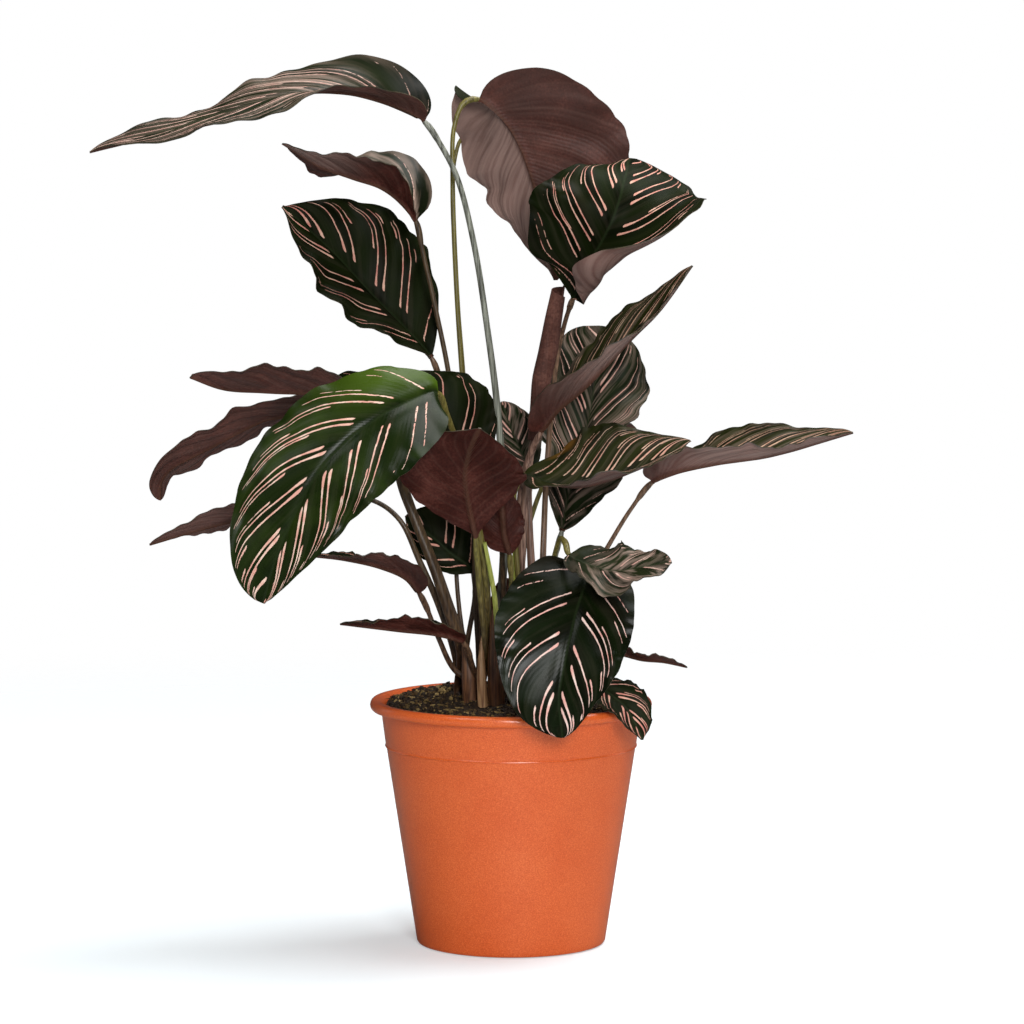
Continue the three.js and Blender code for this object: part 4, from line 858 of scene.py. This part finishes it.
def stalkSkin(name, colours, lowest):
    material, tree, shader = newMaterial(name)
    objectPlace = addNode(tree, "ShaderNodeTexCoord").outputs["Object"]
    across = noiseScale(fibre["width"])
    drawn = addNode(tree, "ShaderNodeMapping", {
        "Vector": objectPlace, "Scale": (across, across, noiseScale(fibre["length"]))})
    fibres = addNode(tree, "ShaderNodeTexNoise", {"Vector": drawn, "Scale": 1.0, "Detail": 3.0})
    blotch = addNode(tree, "ShaderNodeTexNoise", {
        "Vector": objectPlace, "Scale": noiseScale(fibre["blotch"]), "Detail": 3.0})
    skin = addNode(tree, "ShaderNodeValToRGB", {0: fibres}, stops=[(0.35, colours[0]), (0.68, colours[1])])
    foot = addNode(tree, "ShaderNodeValToRGB", {0: fibres}, stops=list(
        zip((0.3, 0.5, 0.72), fibre["footColours"])))
    height = addNode(tree, "ShaderNodeSeparateXYZ", {0: objectPlace}).outputs[2]
    height = addNode(tree, "ShaderNodeMath", {0: blotch, 1: 0.05, 2: height}, operation="MULTIPLY_ADD")
    rise = addNode(tree, "ShaderNodeMapRange", {
        "Value": height, "From Min": lowest, "From Max": lowest + 0.08, "To Min": 0.0, "To Max": 1.0})
    colour = addNode(tree, "ShaderNodeMix", {"Factor": rise, 6: foot, 7: skin}, data_type="RGBA").outputs[2]
    bump = addNode(tree, "ShaderNodeBump", {"Height": fibres, "Strength": 0.5, "Distance": 0.0004})
    fillNode(tree, shader, {"Base Color": colour, "Normal": bump, "Roughness": 0.42})
    return material


stalkSkins = {}
for key, colours in stalkLooks.items():     # the sheaths keep their colour down to the soil
    lowest = 0.1 if key in ("fresh", "dry", "papery") else 0.185
    stalkSkins[key] = stalkSkin("leaf_stalk_" + key, colours, lowest)


def frameAlong(ways):  # two directions square to each way, carried along without a twist
    across = np.cross([0.0, 1.0, 0.0], ways[0])
    first = []
    for way in ways:
        across = across - way * np.dot(across, way)
        across = across / np.linalg.norm(across)
        first.append(across)
    first = np.array(first)
    return first, np.cross(ways, first)


def buildStalk(leaf, start, number):
    foot = shoots[leaf["shoot"]]["foot"]
    rising = [[*foot, stalk["stubTop"]], [*foot, stalk["stubTop"] + 8]]
    line = [start] + rising + leaf["stalk"] + leaf["rib"][:2]
    bpy.ops.mesh.primitive_cylinder_add(vertices=stalk["sides"], radius=1, depth=2)
    piece = bpy.context.object
    bpy.ops.object.mode_set(mode="EDIT")
    bpy.ops.mesh.select_mode(type="EDGE")       # in vertex mode the edges round the ends would be cut too
    bpy.ops.mesh.select_all(action="DESELECT")
    bpy.ops.object.mode_set(mode="OBJECT")
    for edge in piece.data.edges:
        a, b = (piece.data.vertices[i].co for i in edge.vertices)
        edge.select = abs(a.z - b.z) > 1
    bpy.ops.object.mode_set(mode="EDIT")
    bpy.ops.mesh.subdivide(number_cuts=stalk["rings"])
    bpy.ops.mesh.select_mode(type="VERT")
    bpy.ops.object.mode_set(mode="OBJECT")
    flat = getPoints(piece)
    levels, level = np.unique(np.round(flat[:, 2], 4), return_inverse=True)
    shares = (levels + 1) / 2
    spine, ways, length = pointsAlong(line, 0, len(line) - 2, shares)
    first, second = frameAlong(ways)
    girth = leaf.get("girth", 1)
    radii = girth * (stalk["neckRadius"] + (stalk["footRadius"] - stalk["neckRadius"]) * (1 - shares)**1.5)
    toEnd = (1 - shares) * length
    cushion = np.clip((stalk["cushionLength"] + 2 - toEnd) / 4, 0, 1)
    cushion = cushion**2 * (3 - 2 * cushion)
    tip = np.clip(1 - toEnd / 4, 0, 1)
    radii = radii + (stalk["cushionRadius"] - radii) * cushion - 0.3 * stalk["cushionRadius"] * tip
    angle = np.arctan2(flat[:, 1], flat[:, 0])
    sheathing = np.clip(1.25 - shares * 1.6, 0, 1)[level]      # strongest at the foot, none near the blade
    turned = angle - stalk["turnEach"] * number
    fromGroove = (turned + np.pi) % (2 * np.pi) - np.pi
    around = 1 - stalk["groove"] * sheathing * np.exp(-(fromGroove / stalk["grooveWidth"])**2)
    around += stalk["ridge"] * np.cos(stalk["ridges"] * turned) * sheathing
    around *= 1 + stalk["flatness"] * sheathing * np.cos(2 * (turned - stalk["flatTurn"]))
    outwards = radii[level] * around
    points = spine[level] + first[level] * (outwards * np.cos(angle))[:, None]
    points += second[level] * (outwards * np.sin(angle))[:, None]
    setPoints(piece, points * mm)
    onlyThis(piece)
    bpy.ops.object.shade_smooth_by_angle(angle=math.radians(60))
    piece.data.materials.append(stalkSkins[leaf.get("stalkLook", "olive")])
    return piece


def rollSheet(name, sheet, skin, rows=60, columns=72):  # a sheet rolled round a line, with a slanted top
    bpy.ops.mesh.primitive_grid_add(x_subdivisions=columns, y_subdivisions=rows, size=2)
    piece = bpy.context.object
    piece.name = name
    flat = getPoints(piece)
    s, t = flat[:, 0], (flat[:, 1] + 1) / 2
    path, turns, radii = sheet["path"], sheet["turns"], sheet["radii"]
    t = t * (1 - sheet.get("slant", 0) * (1 + s) / 2 - sheet.get("point", 0) * s**2)
    spine, _, _ = pointsAlong(path, 0, len(path) - 1, t)
    steps = np.linspace(0, 1, 200)
    _, lineWays, _ = pointsAlong(path, 0, len(path) - 1, steps)
    sides = [np.stack([np.interp(t, steps, side[:, k]) for k in range(3)], -1)
             for side in frameAlong(lineWays)]
    angle = math.radians(sheet["opening"]) + s * math.pi * turns
    radius = np.interp(t, np.linspace(0, 1, len(radii)), radii)
    radius = radius * (1 - 0.13 * (1 - s))      # the inner edge lies closer in, so the turns don't touch
    points = spine + sides[0] * (radius * np.cos(angle))[:, None]
    points = points + sides[1] * (radius * np.sin(angle))[:, None]
    setPoints(piece, points * mm)
    corners = cornerVertices(piece)
    s, t = s[corners], t[corners]
    # Veins wind up the sheet, as if 5 mm apart and 20 mm from a midrib, so that no midrib is drawn
    layers = {"veins": (s * 3 * turns + t * 2.5, s), "reach": (0 * s + 0.05, 0 * s + 0.2)}
    # The lower side's painted sheen, the same all over the sheet
    addLayers(piece, layers, np.full(len(flat), sheet.get("underSheen", 0), float))
    thicken(piece, sheet["thickness"])
    bpy.ops.object.shade_smooth_by_angle(angle=math.radians(50))
    piece.data.materials.append(skin)
    return piece


rolledLeaf = {
    "shoot": "tight", "girth": 1.3, "stalk": [[14, -2, 200], [11, 0, 256], [11, 1, 284]],
    "path": [[13, 2, 304], [16, 2, 322], [18, 2, 340], [22, 2, 358], [25, 0, 376], [29, -3, 398]],
    "radii": [3.6, 5.6, 6.4, 6.4, 5.6, 4.6],
    "turns": 1.35, "thickness": 0.5, "slant": 0.09, "opening": 200, "underSheen": 0.12,
}
# Sheaths and bladeless stalks in the clump: a point draws the sheet's free edges down from its top
sheaths = [
    {"shoot": "front_left", "skin": "fresh", "turns": 1.0, "opening": 90, "point": 0.0,
     "path": [[-6, -22, 146], [-7.5, -29, 180], [-9.5, -36, 212], [-12.5, -42, 231], [-15.5, -46, 247]],
     "radii": [2.3, 2.1, 1.9, 1.7, 1.3]},
    {"shoot": "front", "skin": "fresh", "turns": 0.8, "opening": 80, "point": 0.1,
     "path": [[1, -8, 144], [2, -11, 190], [3, -14, 223], [2, -15, 255]], "radii": [1.6, 2.4, 2.7, 1.2]},
    {"shoot": "front_left", "skin": "dry", "turns": 0.6, "opening": -90, "point": 0.45,
     "path": [[-17, -26, 143], [-18, -28, 168], [-17.5, -28, 190]], "radii": [3.8, 3.3, 0.8]},
    {"shoot": "front_left", "skin": "papery", "turns": 0.85, "opening": -60, "point": 0.4,
     "path": [[-9, -24, 140], [-10, -27, 175], [-10.5, -31, 209]], "radii": [6.6, 5.2, 2.0]},
    {"shoot": "front_left", "skin": "papery", "turns": 0.7, "opening": -120, "point": 0.35,
     "path": [[-24, -14, 140], [-25, -17, 160], [-28, -20, 186]], "radii": [6.4, 5.4, 1.8]},
    {"shoot": "tall", "skin": "brown", "turns": 1.0, "opening": 90, "point": 0.0,
     "path": [[-23, 6, 144], [-27, 6, 171], [-31, 7, 200], [-33, 9, 227], [-32, 12, 262]],
     "radii": [2.4, 2.0, 1.6, 1.5, 1.3]},
    {"shoot": "centre", "skin": "brown", "turns": 1.0, "opening": 90, "point": 0.0,
     "path": [[-15, 0, 144], [-19, -1, 175], [-22, 0, 225], [-22, 3, 262]], "radii": [2.6, 2.0, 1.6, 1.3]},
    {"shoot": "tight", "skin": "pink", "turns": 0.85, "opening": -80, "point": 0.2,
     "path": [[7.5, -11, 198], [6.5, -12.5, 232], [7.5, -15.5, 262], [11, -19, 290]],
     "radii": [1.6, 2.2, 2.9, 2.1]},
    {"shoot": "tight", "skin": "papery", "turns": 0.8, "opening": -90, "point": 0.35,
     "path": [[14, -11, 140], [12, -12, 175], [10, -12, 206]], "radii": [7.0, 5.4, 2.4]},
]
for name, shoot in shoots.items():
    own = [leaf for leaf in leaves + [rolledLeaf] if leaf["shoot"] == name]
    grown = []
    for i, leaf in enumerate(own):
        if leaf is rolledLeaf:
            leaf = {**rolledLeaf, "rib": rolledLeaf["path"], "stalkLook": "pink"}
        turn = 2 * math.pi * i / len(own)
        spread = 0
        if len(own) > 1:
            spread = max(0, shoot["radius"] * 0.9 - stalk["coreRadius"] * leaf.get("girth", 1))
        x = shoot["foot"][0] + spread * math.cos(turn)
        y = shoot["foot"][1] + spread * math.sin(turn)
        grown.append(buildStalk(leaf, [x, y, stalk["stubFoot"]], i))
    for sheath in sheaths:
        if sheath["shoot"] == name:
            sheath = {**sheath, "thickness": stalk["sheathThickness"]}
            grown.append(rollSheet("sheath", sheath, stalkSkins[sheath["skin"]], rows=36, columns=32))
    finishPiece(joinPieces(grown, "shoot_" + name), "leaf_stalk", "stalks_" + name)
print("stalks done")


finishPiece(rollSheet("rolled_young_leaf", rolledLeaf, youngUnder), "rolled_leaf", "rolled_leaf")
print("rolled leaf done")


# Pot: injection-moulded polypropylene, which has a soft sheen and a fine orange-peel grain
pot = {
    "rimRadius": 85, "height": 148, "wall": 1.6, "footRadius": 54.5, "bodyFootRadius": 57.3,
    "collarRadius": 75.2, "collarHeight": 119.5, "neckRadius": 78.2,
    # The raised line round the collar, in steps outwards and up from it
    "bead": [(-0.05, -0.4), (0.05, 0), (0.6, 0.1), (0.85, 0.4), (0.75, 0.9), (0.45, 1.3)],
    "lipHeight": 6.2, "lipInnerRadius": 78.8, "lipRoll": 2.4, "lipRollHeight": 3.2, "floor": 2.2,
    "slots": 8, "slotWidth": 3.6, "slotLength": 15, "slotRadius": 38, "sides": 160,
    "colours": ["#CD5019", "#DD6027", "#EB773C"],
    "grain": 0.667, "cloud": 35.7,      # mm; real orange peel is finer, and wouldn't show
}


def pottingPlastic():
    material, tree, shader = newMaterial("orange_polypropylene")
    objectPlace = addNode(tree, "ShaderNodeTexCoord").outputs["Object"]
    grain, cloud = (
        addNode(tree, "ShaderNodeTexNoise", {
            "Vector": objectPlace, "Scale": noiseScale(pot[key]), "Detail": detail})
        for key, detail in (("grain", 2.0), ("cloud", 3.0)))
    mixed = addNode(tree, "ShaderNodeMath", {0: cloud, 1: 0.25, 2: grain}, operation="MULTIPLY_ADD")
    ramp = addNode(tree, "ShaderNodeValToRGB", {0: mixed}, stops=list(zip((0.4, 0.63, 0.85), pot["colours"])))
    bump = addNode(tree, "ShaderNodeBump", {"Height": grain, "Strength": 0.3, "Distance": 0.0002})
    fillNode(tree, shader, {
        "Base Color": ramp, "Normal": bump, "Roughness": 0.28, "IOR": 1.49, "Specular IOR Level": 0.8})
    return material


def buildPot():
    foot, wall, neck = pot["bodyFootRadius"], pot["wall"], pot["neckRadius"]
    collar, collarHeight = pot["collarRadius"], pot["collarHeight"]
    top, lip, roll, rollHeight = pot["height"], pot["lipInnerRadius"], pot["lipRoll"], pot["lipRollHeight"]
    underLip = top - pot["lipHeight"]
    rings = [(foot - 0.9, 0.5), (foot - 0.2, 1.6), (foot, 3)]
    rings += [(collar + out, collarHeight + up) for out, up in pot["bead"]]
    rings += [(neck - 0.2, underLip - 3), (neck + 0.4, underLip - 0.4)]
    for step in range(9):  # the rolled lip's half round
        turn = math.pi * (step / 8 - 0.5)
        out, up = roll * math.cos(turn), rollHeight * math.sin(turn)
        rings.append((pot["rimRadius"] - roll + out, top - rollHeight + up))
    rings += [
        (lip + 0.9, top - 0.25), (lip, top - 1.1), (neck - wall, top - 3.4),
        (collar + 0.7 - wall, collarHeight + 1), (collar - wall - 0.2, collarHeight),
        (foot - wall + 0.3, pot["floor"] + 2), (foot - wall - 0.6, pot["floor"] + 0.4),
        (foot - wall - 2, pot["floor"]),
    ]
    bpy.ops.mesh.primitive_circle_add(vertices=pot["sides"], radius=pot["footRadius"] * mm)
    piece = bpy.context.object
    piece.name = "grower_pot"
    bpy.ops.object.mode_set(mode="EDIT")
    bpy.ops.mesh.select_all(action="SELECT")
    radius, height = pot["footRadius"], 0
    for nextRadius, nextHeight in rings:  # the wall is drawn up ring by ring, over the lip and down inside
        bpy.ops.mesh.extrude_region_move(TRANSFORM_OT_translate={"value": (0, 0, (nextHeight - height) * mm)})
        share = nextRadius / radius
        bpy.ops.transform.resize(value=(share, share, 1), center_override=(0, 0, nextHeight * mm))
        radius, height = nextRadius, nextHeight
    bpy.ops.mesh.edge_face_add()
    bpy.ops.mesh.select_all(action="DESELECT")
    bpy.ops.object.mode_set(mode="OBJECT")
    for vertex in piece.data.vertices:      # the foot's own ring is closed last
        vertex.select = vertex.co.z < 0.1 * mm
    bpy.ops.object.mode_set(mode="EDIT")
    bpy.ops.mesh.edge_face_add()
    bpy.ops.mesh.select_all(action="SELECT")
    bpy.ops.mesh.normals_make_consistent(inside=False)
    bpy.ops.object.mode_set(mode="OBJECT")

    slots = []
    for i in range(pot["slots"]):
        turn = 2 * math.pi * i / pot["slots"]
        away = pot["slotRadius"] * mm
        place = (away * math.cos(turn), away * math.sin(turn), 1 * mm)
        bpy.ops.mesh.primitive_cube_add(size=1, location=place, rotation=(0, 0, turn))
        slot = bpy.context.object
        slot.scale = (pot["slotLength"] * mm, pot["slotWidth"] * mm, 8 * mm)    # well through the floor
        onlyThis(slot)
        bpy.ops.object.transform_apply(location=True, rotation=True, scale=True)
        slots.append(slot)
    cutter = joinPieces(slots, "slot_cutter")
    cut = piece.modifiers.new("slots", "BOOLEAN")
    cut.object = cutter
    cut.operation = "DIFFERENCE"
    applyAll(piece)
    bpy.data.objects.remove(cutter)
    onlyThis(piece)
    bpy.ops.object.shade_smooth_by_angle(angle=math.radians(40))
    piece.data.materials.append(pottingPlastic())
    finishPiece(piece, "pot_plastic", "pot")


buildPot()
print("pot done")


# Potting soil: moist peat, near black, with bark crumbs and tan fibres
soil = {
    "edgeHeight": 143.6, "tilt": 3, "mound": 4, "lump": 1, "reach": 76, "wallGap": 0.8,
    "crustSteps": 130, "crustThickness": 2, "crustRise": 1.2, "crustRough": 1.1, "clod": 6.25, "grain": 2.38,
    "colours": ["#20150A", "#352411", "#50391C", "#6E5930", "#A98E5C"],     # peat, bark and fibre
    "crumbs": 3200, "crumbLeast": 0.45, "crumbSpread": 1.3, "fibres": 260, "fibreLeast": 3, "fibreSpread": 4,
    "crustKind": 0.3, "seed": 5,
}


def soilTop(x, y):
    reach = np.minimum(1, np.hypot(x, y) / soil["reach"])
    lumps = np.sin(x * 0.31 + 1) * np.cos(y * 0.27) + np.sin(x * 0.13 - y * 0.19)
    return (soil["edgeHeight"] + soil["tilt"] * y / soil["reach"] + soil["mound"] * (1 - reach**2)
            + soil["lump"] * lumps * (1 - reach**4))


def peat(name):
    material, tree, shader = newMaterial(name)
    objectPlace = addNode(tree, "ShaderNodeTexCoord").outputs["Object"]
    grain = addNode(tree, "ShaderNodeTexNoise", {
        "Vector": objectPlace, "Scale": noiseScale(soil["grain"]), "Detail": 4.0})
    kind = addNode(tree, "ShaderNodeAttribute", attribute_name="kind")
    ramp = addNode(tree, "ShaderNodeValToRGB", {0: kind.outputs["Fac"]}, stops=list(
        zip((0.0, 0.45, 0.7, 0.86, 1.0), soil["colours"])))
    shade = addNode(tree, "ShaderNodeMapRange", {
        "Value": grain, "From Min": 0.3, "From Max": 0.7, "To Min": 0.45, "To Max": 1.3})
    colour = addNode(tree, "ShaderNodeVectorMath", {0: ramp, 1: shade}, operation="MULTIPLY")
    bump = addNode(tree, "ShaderNodeBump", {"Height": grain, "Strength": 0.8, "Distance": 0.0008})
    fillNode(tree, shader, {
        "Base Color": colour, "Normal": bump, "Roughness": 0.82, "Specular IOR Level": 0.35})
    return material


def scatter(model, name, places, sizes, kinds, random):  # many copies of one crumb, each turned, in one mesh
    shape = getPoints(model)
    faces = np.array([list(face.vertices) for face in model.data.polygons])
    points, triangles = [], []
    for i, (place, size) in enumerate(zip(places, sizes)):
        turn, _ = np.linalg.qr(random.normal(size=(3, 3)))
        lean = turn
        if size[0] >= soil["fibreLeast"]:       # a fibre lies nearly flat
            lean = np.array([turn[0] * [1, 1, 0.25], turn[1], turn[2]])
        jag = shape * (1 + 0.25 * random.normal(size=(len(shape), 1)))
        points.append((jag * size) @ lean + place)
        triangles.append(faces + i * len(shape))
    mesh = bpy.data.meshes.new(name)
    mesh.from_pydata((np.concatenate(points) * mm).tolist(), [], np.concatenate(triangles).tolist())
    addValue(mesh, "kind", np.repeat(kinds, len(shape)))
    piece = bpy.data.objects.new(name, mesh)
    bpy.context.scene.collection.objects.link(piece)
    return piece


def buildSoil():
    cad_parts["soil"].data.materials.clear()
    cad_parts["soil"].data.materials.append(peat("peat_body"))
    wallRadius = soil["reach"] - soil["wallGap"]
    steps = soil["crustSteps"]
    bpy.ops.mesh.primitive_grid_add(x_subdivisions=steps, y_subdivisions=steps, size=2)
    crust = bpy.context.object
    crust.name = "soil_crust"
    flat = getPoints(crust)
    x = flat[:, 0] * np.sqrt(1 - flat[:, 1]**2 / 2) * wallRadius
    y = flat[:, 1] * np.sqrt(1 - flat[:, 0]**2 / 2) * wallRadius
    clods = [noise.fractal(Vector((a / soil["clod"], b / soil["clod"], 0.5)), 0.7, 2.1, 5)
             for a, b in zip(x, y)]
    z = soilTop(x, y) + soil["crustRise"] + soil["crustRough"] * np.array(clods)
    setPoints(crust, np.stack([x, y, z], 1) * mm)
    thicken(crust, soil["crustThickness"])
    bpy.ops.object.shade_smooth()
    addValue(crust.data, "kind", np.full(len(crust.data.vertices), soil["crustKind"]))
    crust.data.materials.append(peat("peat_crust"))
    finishPiece(crust, "soil")

    random = np.random.default_rng(soil["seed"])
    bpy.ops.mesh.primitive_ico_sphere_add(subdivisions=1, radius=1)
    model = bpy.context.object
    for name, count in (("soil_crumbs", soil["crumbs"]), ("soil_fibres", soil["fibres"])):
        radius = (wallRadius - 1.5) * np.sqrt(random.random(count))
        turn = 2 * np.pi * random.random(count)
        x, y = radius * np.cos(turn), radius * np.sin(turn)
        if name == "soil_crumbs":
            size = (soil["crumbLeast"] + soil["crumbSpread"] * random.random(count)**2.6)[:, None]
            size = size * (0.75 + 0.5 * random.random((count, 3)))
            kinds = random.random(count)**1.6
        else:
            lengths = soil["fibreLeast"] + soil["fibreSpread"] * random.random(count)
            size = np.stack([lengths, *(0.35 + 0.3 * random.random((2, count)))], 1)
            kinds = 0.75 + 0.25 * random.random(count)
        places = np.stack([x, y, soilTop(x, y) + 1.6 + 0.5 * random.random(count)], 1)
        piece = scatter(model, name, places, size, kinds, random)
        piece.data.materials.append(peat("peat_" + name))
        finishPiece(piece, "soil")
    bpy.data.objects.remove(model)


buildSoil()
print("soil done")


# Stage: a white floor, soft boxes and the photo's camera, with places and sizes in metres
stage = {
    "floorRadius": 1.6, "floorColour": "#D8E2E6", "floorInSheen": "#6A6A68", "floorGlow": 0.35,
    "fadeFrom": 0.7, "fadeTo": 1.5, "ambient": 0.07,
    "cameraPlace": (0.0006, -2.6, 0.498), "cameraPitch": 5.21, "lens": 152.7, "aimHeight": 0.25,
    "boxes": [
        {"name": "top", "place": (0.7, 0.2, 2.4), "size": (1.8, 1.8), "watts": 78},
        {"name": "key", "place": (0.42, -3.0, 1.1), "size": (0.6, 1.0), "watts": 62},
        {"name": "upper_left", "place": (-1.3, -1.4, 2.2), "size": (0.8, 0.8), "watts": 10},
        {"name": "left_strip", "place": (-1.9, 1.2, 0.5), "size": (0.25, 1.2), "watts": 1.0},
        {"name": "right_strip", "place": (1.9, 1.0, 0.5), "size": (0.25, 1.2), "watts": 2.0},
    ],
}


# The floor is white seamless paper: matt, so it shows only the plant's soft shadow
def buildStage():
    material, tree, shader = newMaterial("white_paper_floor")
    ray = addNode(tree, "ShaderNodeLightPath").outputs
    colour = addNode(tree, "ShaderNodeMix", {
        "Factor": ray["Is Glossy Ray"], 6: linear(stage["floorColour"]),
        7: linear(stage["floorInSheen"])}, data_type="RGBA")
    glow = addNode(tree, "ShaderNodeMath", {0: ray["Is Camera Ray"], 1: stage["floorGlow"]},
                   operation="MULTIPLY")
    fillNode(tree, shader, {
        "Base Color": colour.outputs[2], "Roughness": 0.7, "Specular IOR Level": 0.2,
        "Emission Color": (1, 1, 1, 1), "Emission Strength": glow})
    place = addNode(tree, "ShaderNodeTexCoord").outputs["Object"]
    away = addNode(tree, "ShaderNodeVectorMath", {0: place}, operation="LENGTH").outputs["Value"]
    fade = addNode(tree, "ShaderNodeMapRange", {
        "Value": away, "From Min": stage["fadeFrom"], "From Max": stage["fadeTo"]},
        interpolation_type="SMOOTHSTEP")     # the paper melts into the white studio
    clear = addNode(tree, "ShaderNodeBsdfTransparent")
    mixed = addNode(tree, "ShaderNodeMixShader", {0: fade, 1: shader, 2: clear})
    tree.links.new(mixed.outputs[0], tree.nodes["Material Output"].inputs["Surface"])
    bpy.ops.mesh.primitive_circle_add(vertices=64, radius=stage["floorRadius"], fill_type="NGON",
                                      location=(0, 0, -0.0002))
    floor = bpy.context.object
    floor.name = "floor"
    floor.data.materials.append(material)

    world = bpy.data.worlds.new("studio")
    world.use_nodes = True
    bpy.context.scene.world = world
    tree = world.node_tree
    seen = addNode(tree, "ShaderNodeLightPath").outputs["Is Camera Ray"]
    colour = addNode(tree, "ShaderNodeMix", {
        "Factor": seen, 6: (*[stage["ambient"]] * 3, 1), 7: (1, 1, 1, 1)}, data_type="RGBA")
    tree.links.new(colour.outputs[2], tree.nodes["Background"].inputs["Color"])

    for box in stage["boxes"]:
        data = bpy.data.lights.new(box["name"] + "_softbox", "AREA")
        data.shape = "RECTANGLE"
        data.size, data.size_y = box["size"]
        data.energy = box["watts"]
        lamp = bpy.data.objects.new(data.name, data)
        bpy.context.scene.collection.objects.link(lamp)
        lamp.location = box["place"]
        aim = Vector((0, 0, stage["aimHeight"])) - Vector(box["place"])
        lamp.rotation_euler = aim.to_track_quat("-Z", "Y").to_euler()

    data = bpy.data.cameras.new("photo_camera")
    data.lens = stage["lens"]
    data.sensor_width = 36
    camera = bpy.data.objects.new("photo_camera", data)
    bpy.context.scene.collection.objects.link(camera)
    camera.location = stage["cameraPlace"]
    camera.rotation_euler = (math.radians(90 - stage["cameraPitch"]), 0, 0)
    bpy.context.scene.camera = camera
    bpy.context.scene.view_settings.view_transform = "Standard"


buildStage()
print("stage done")
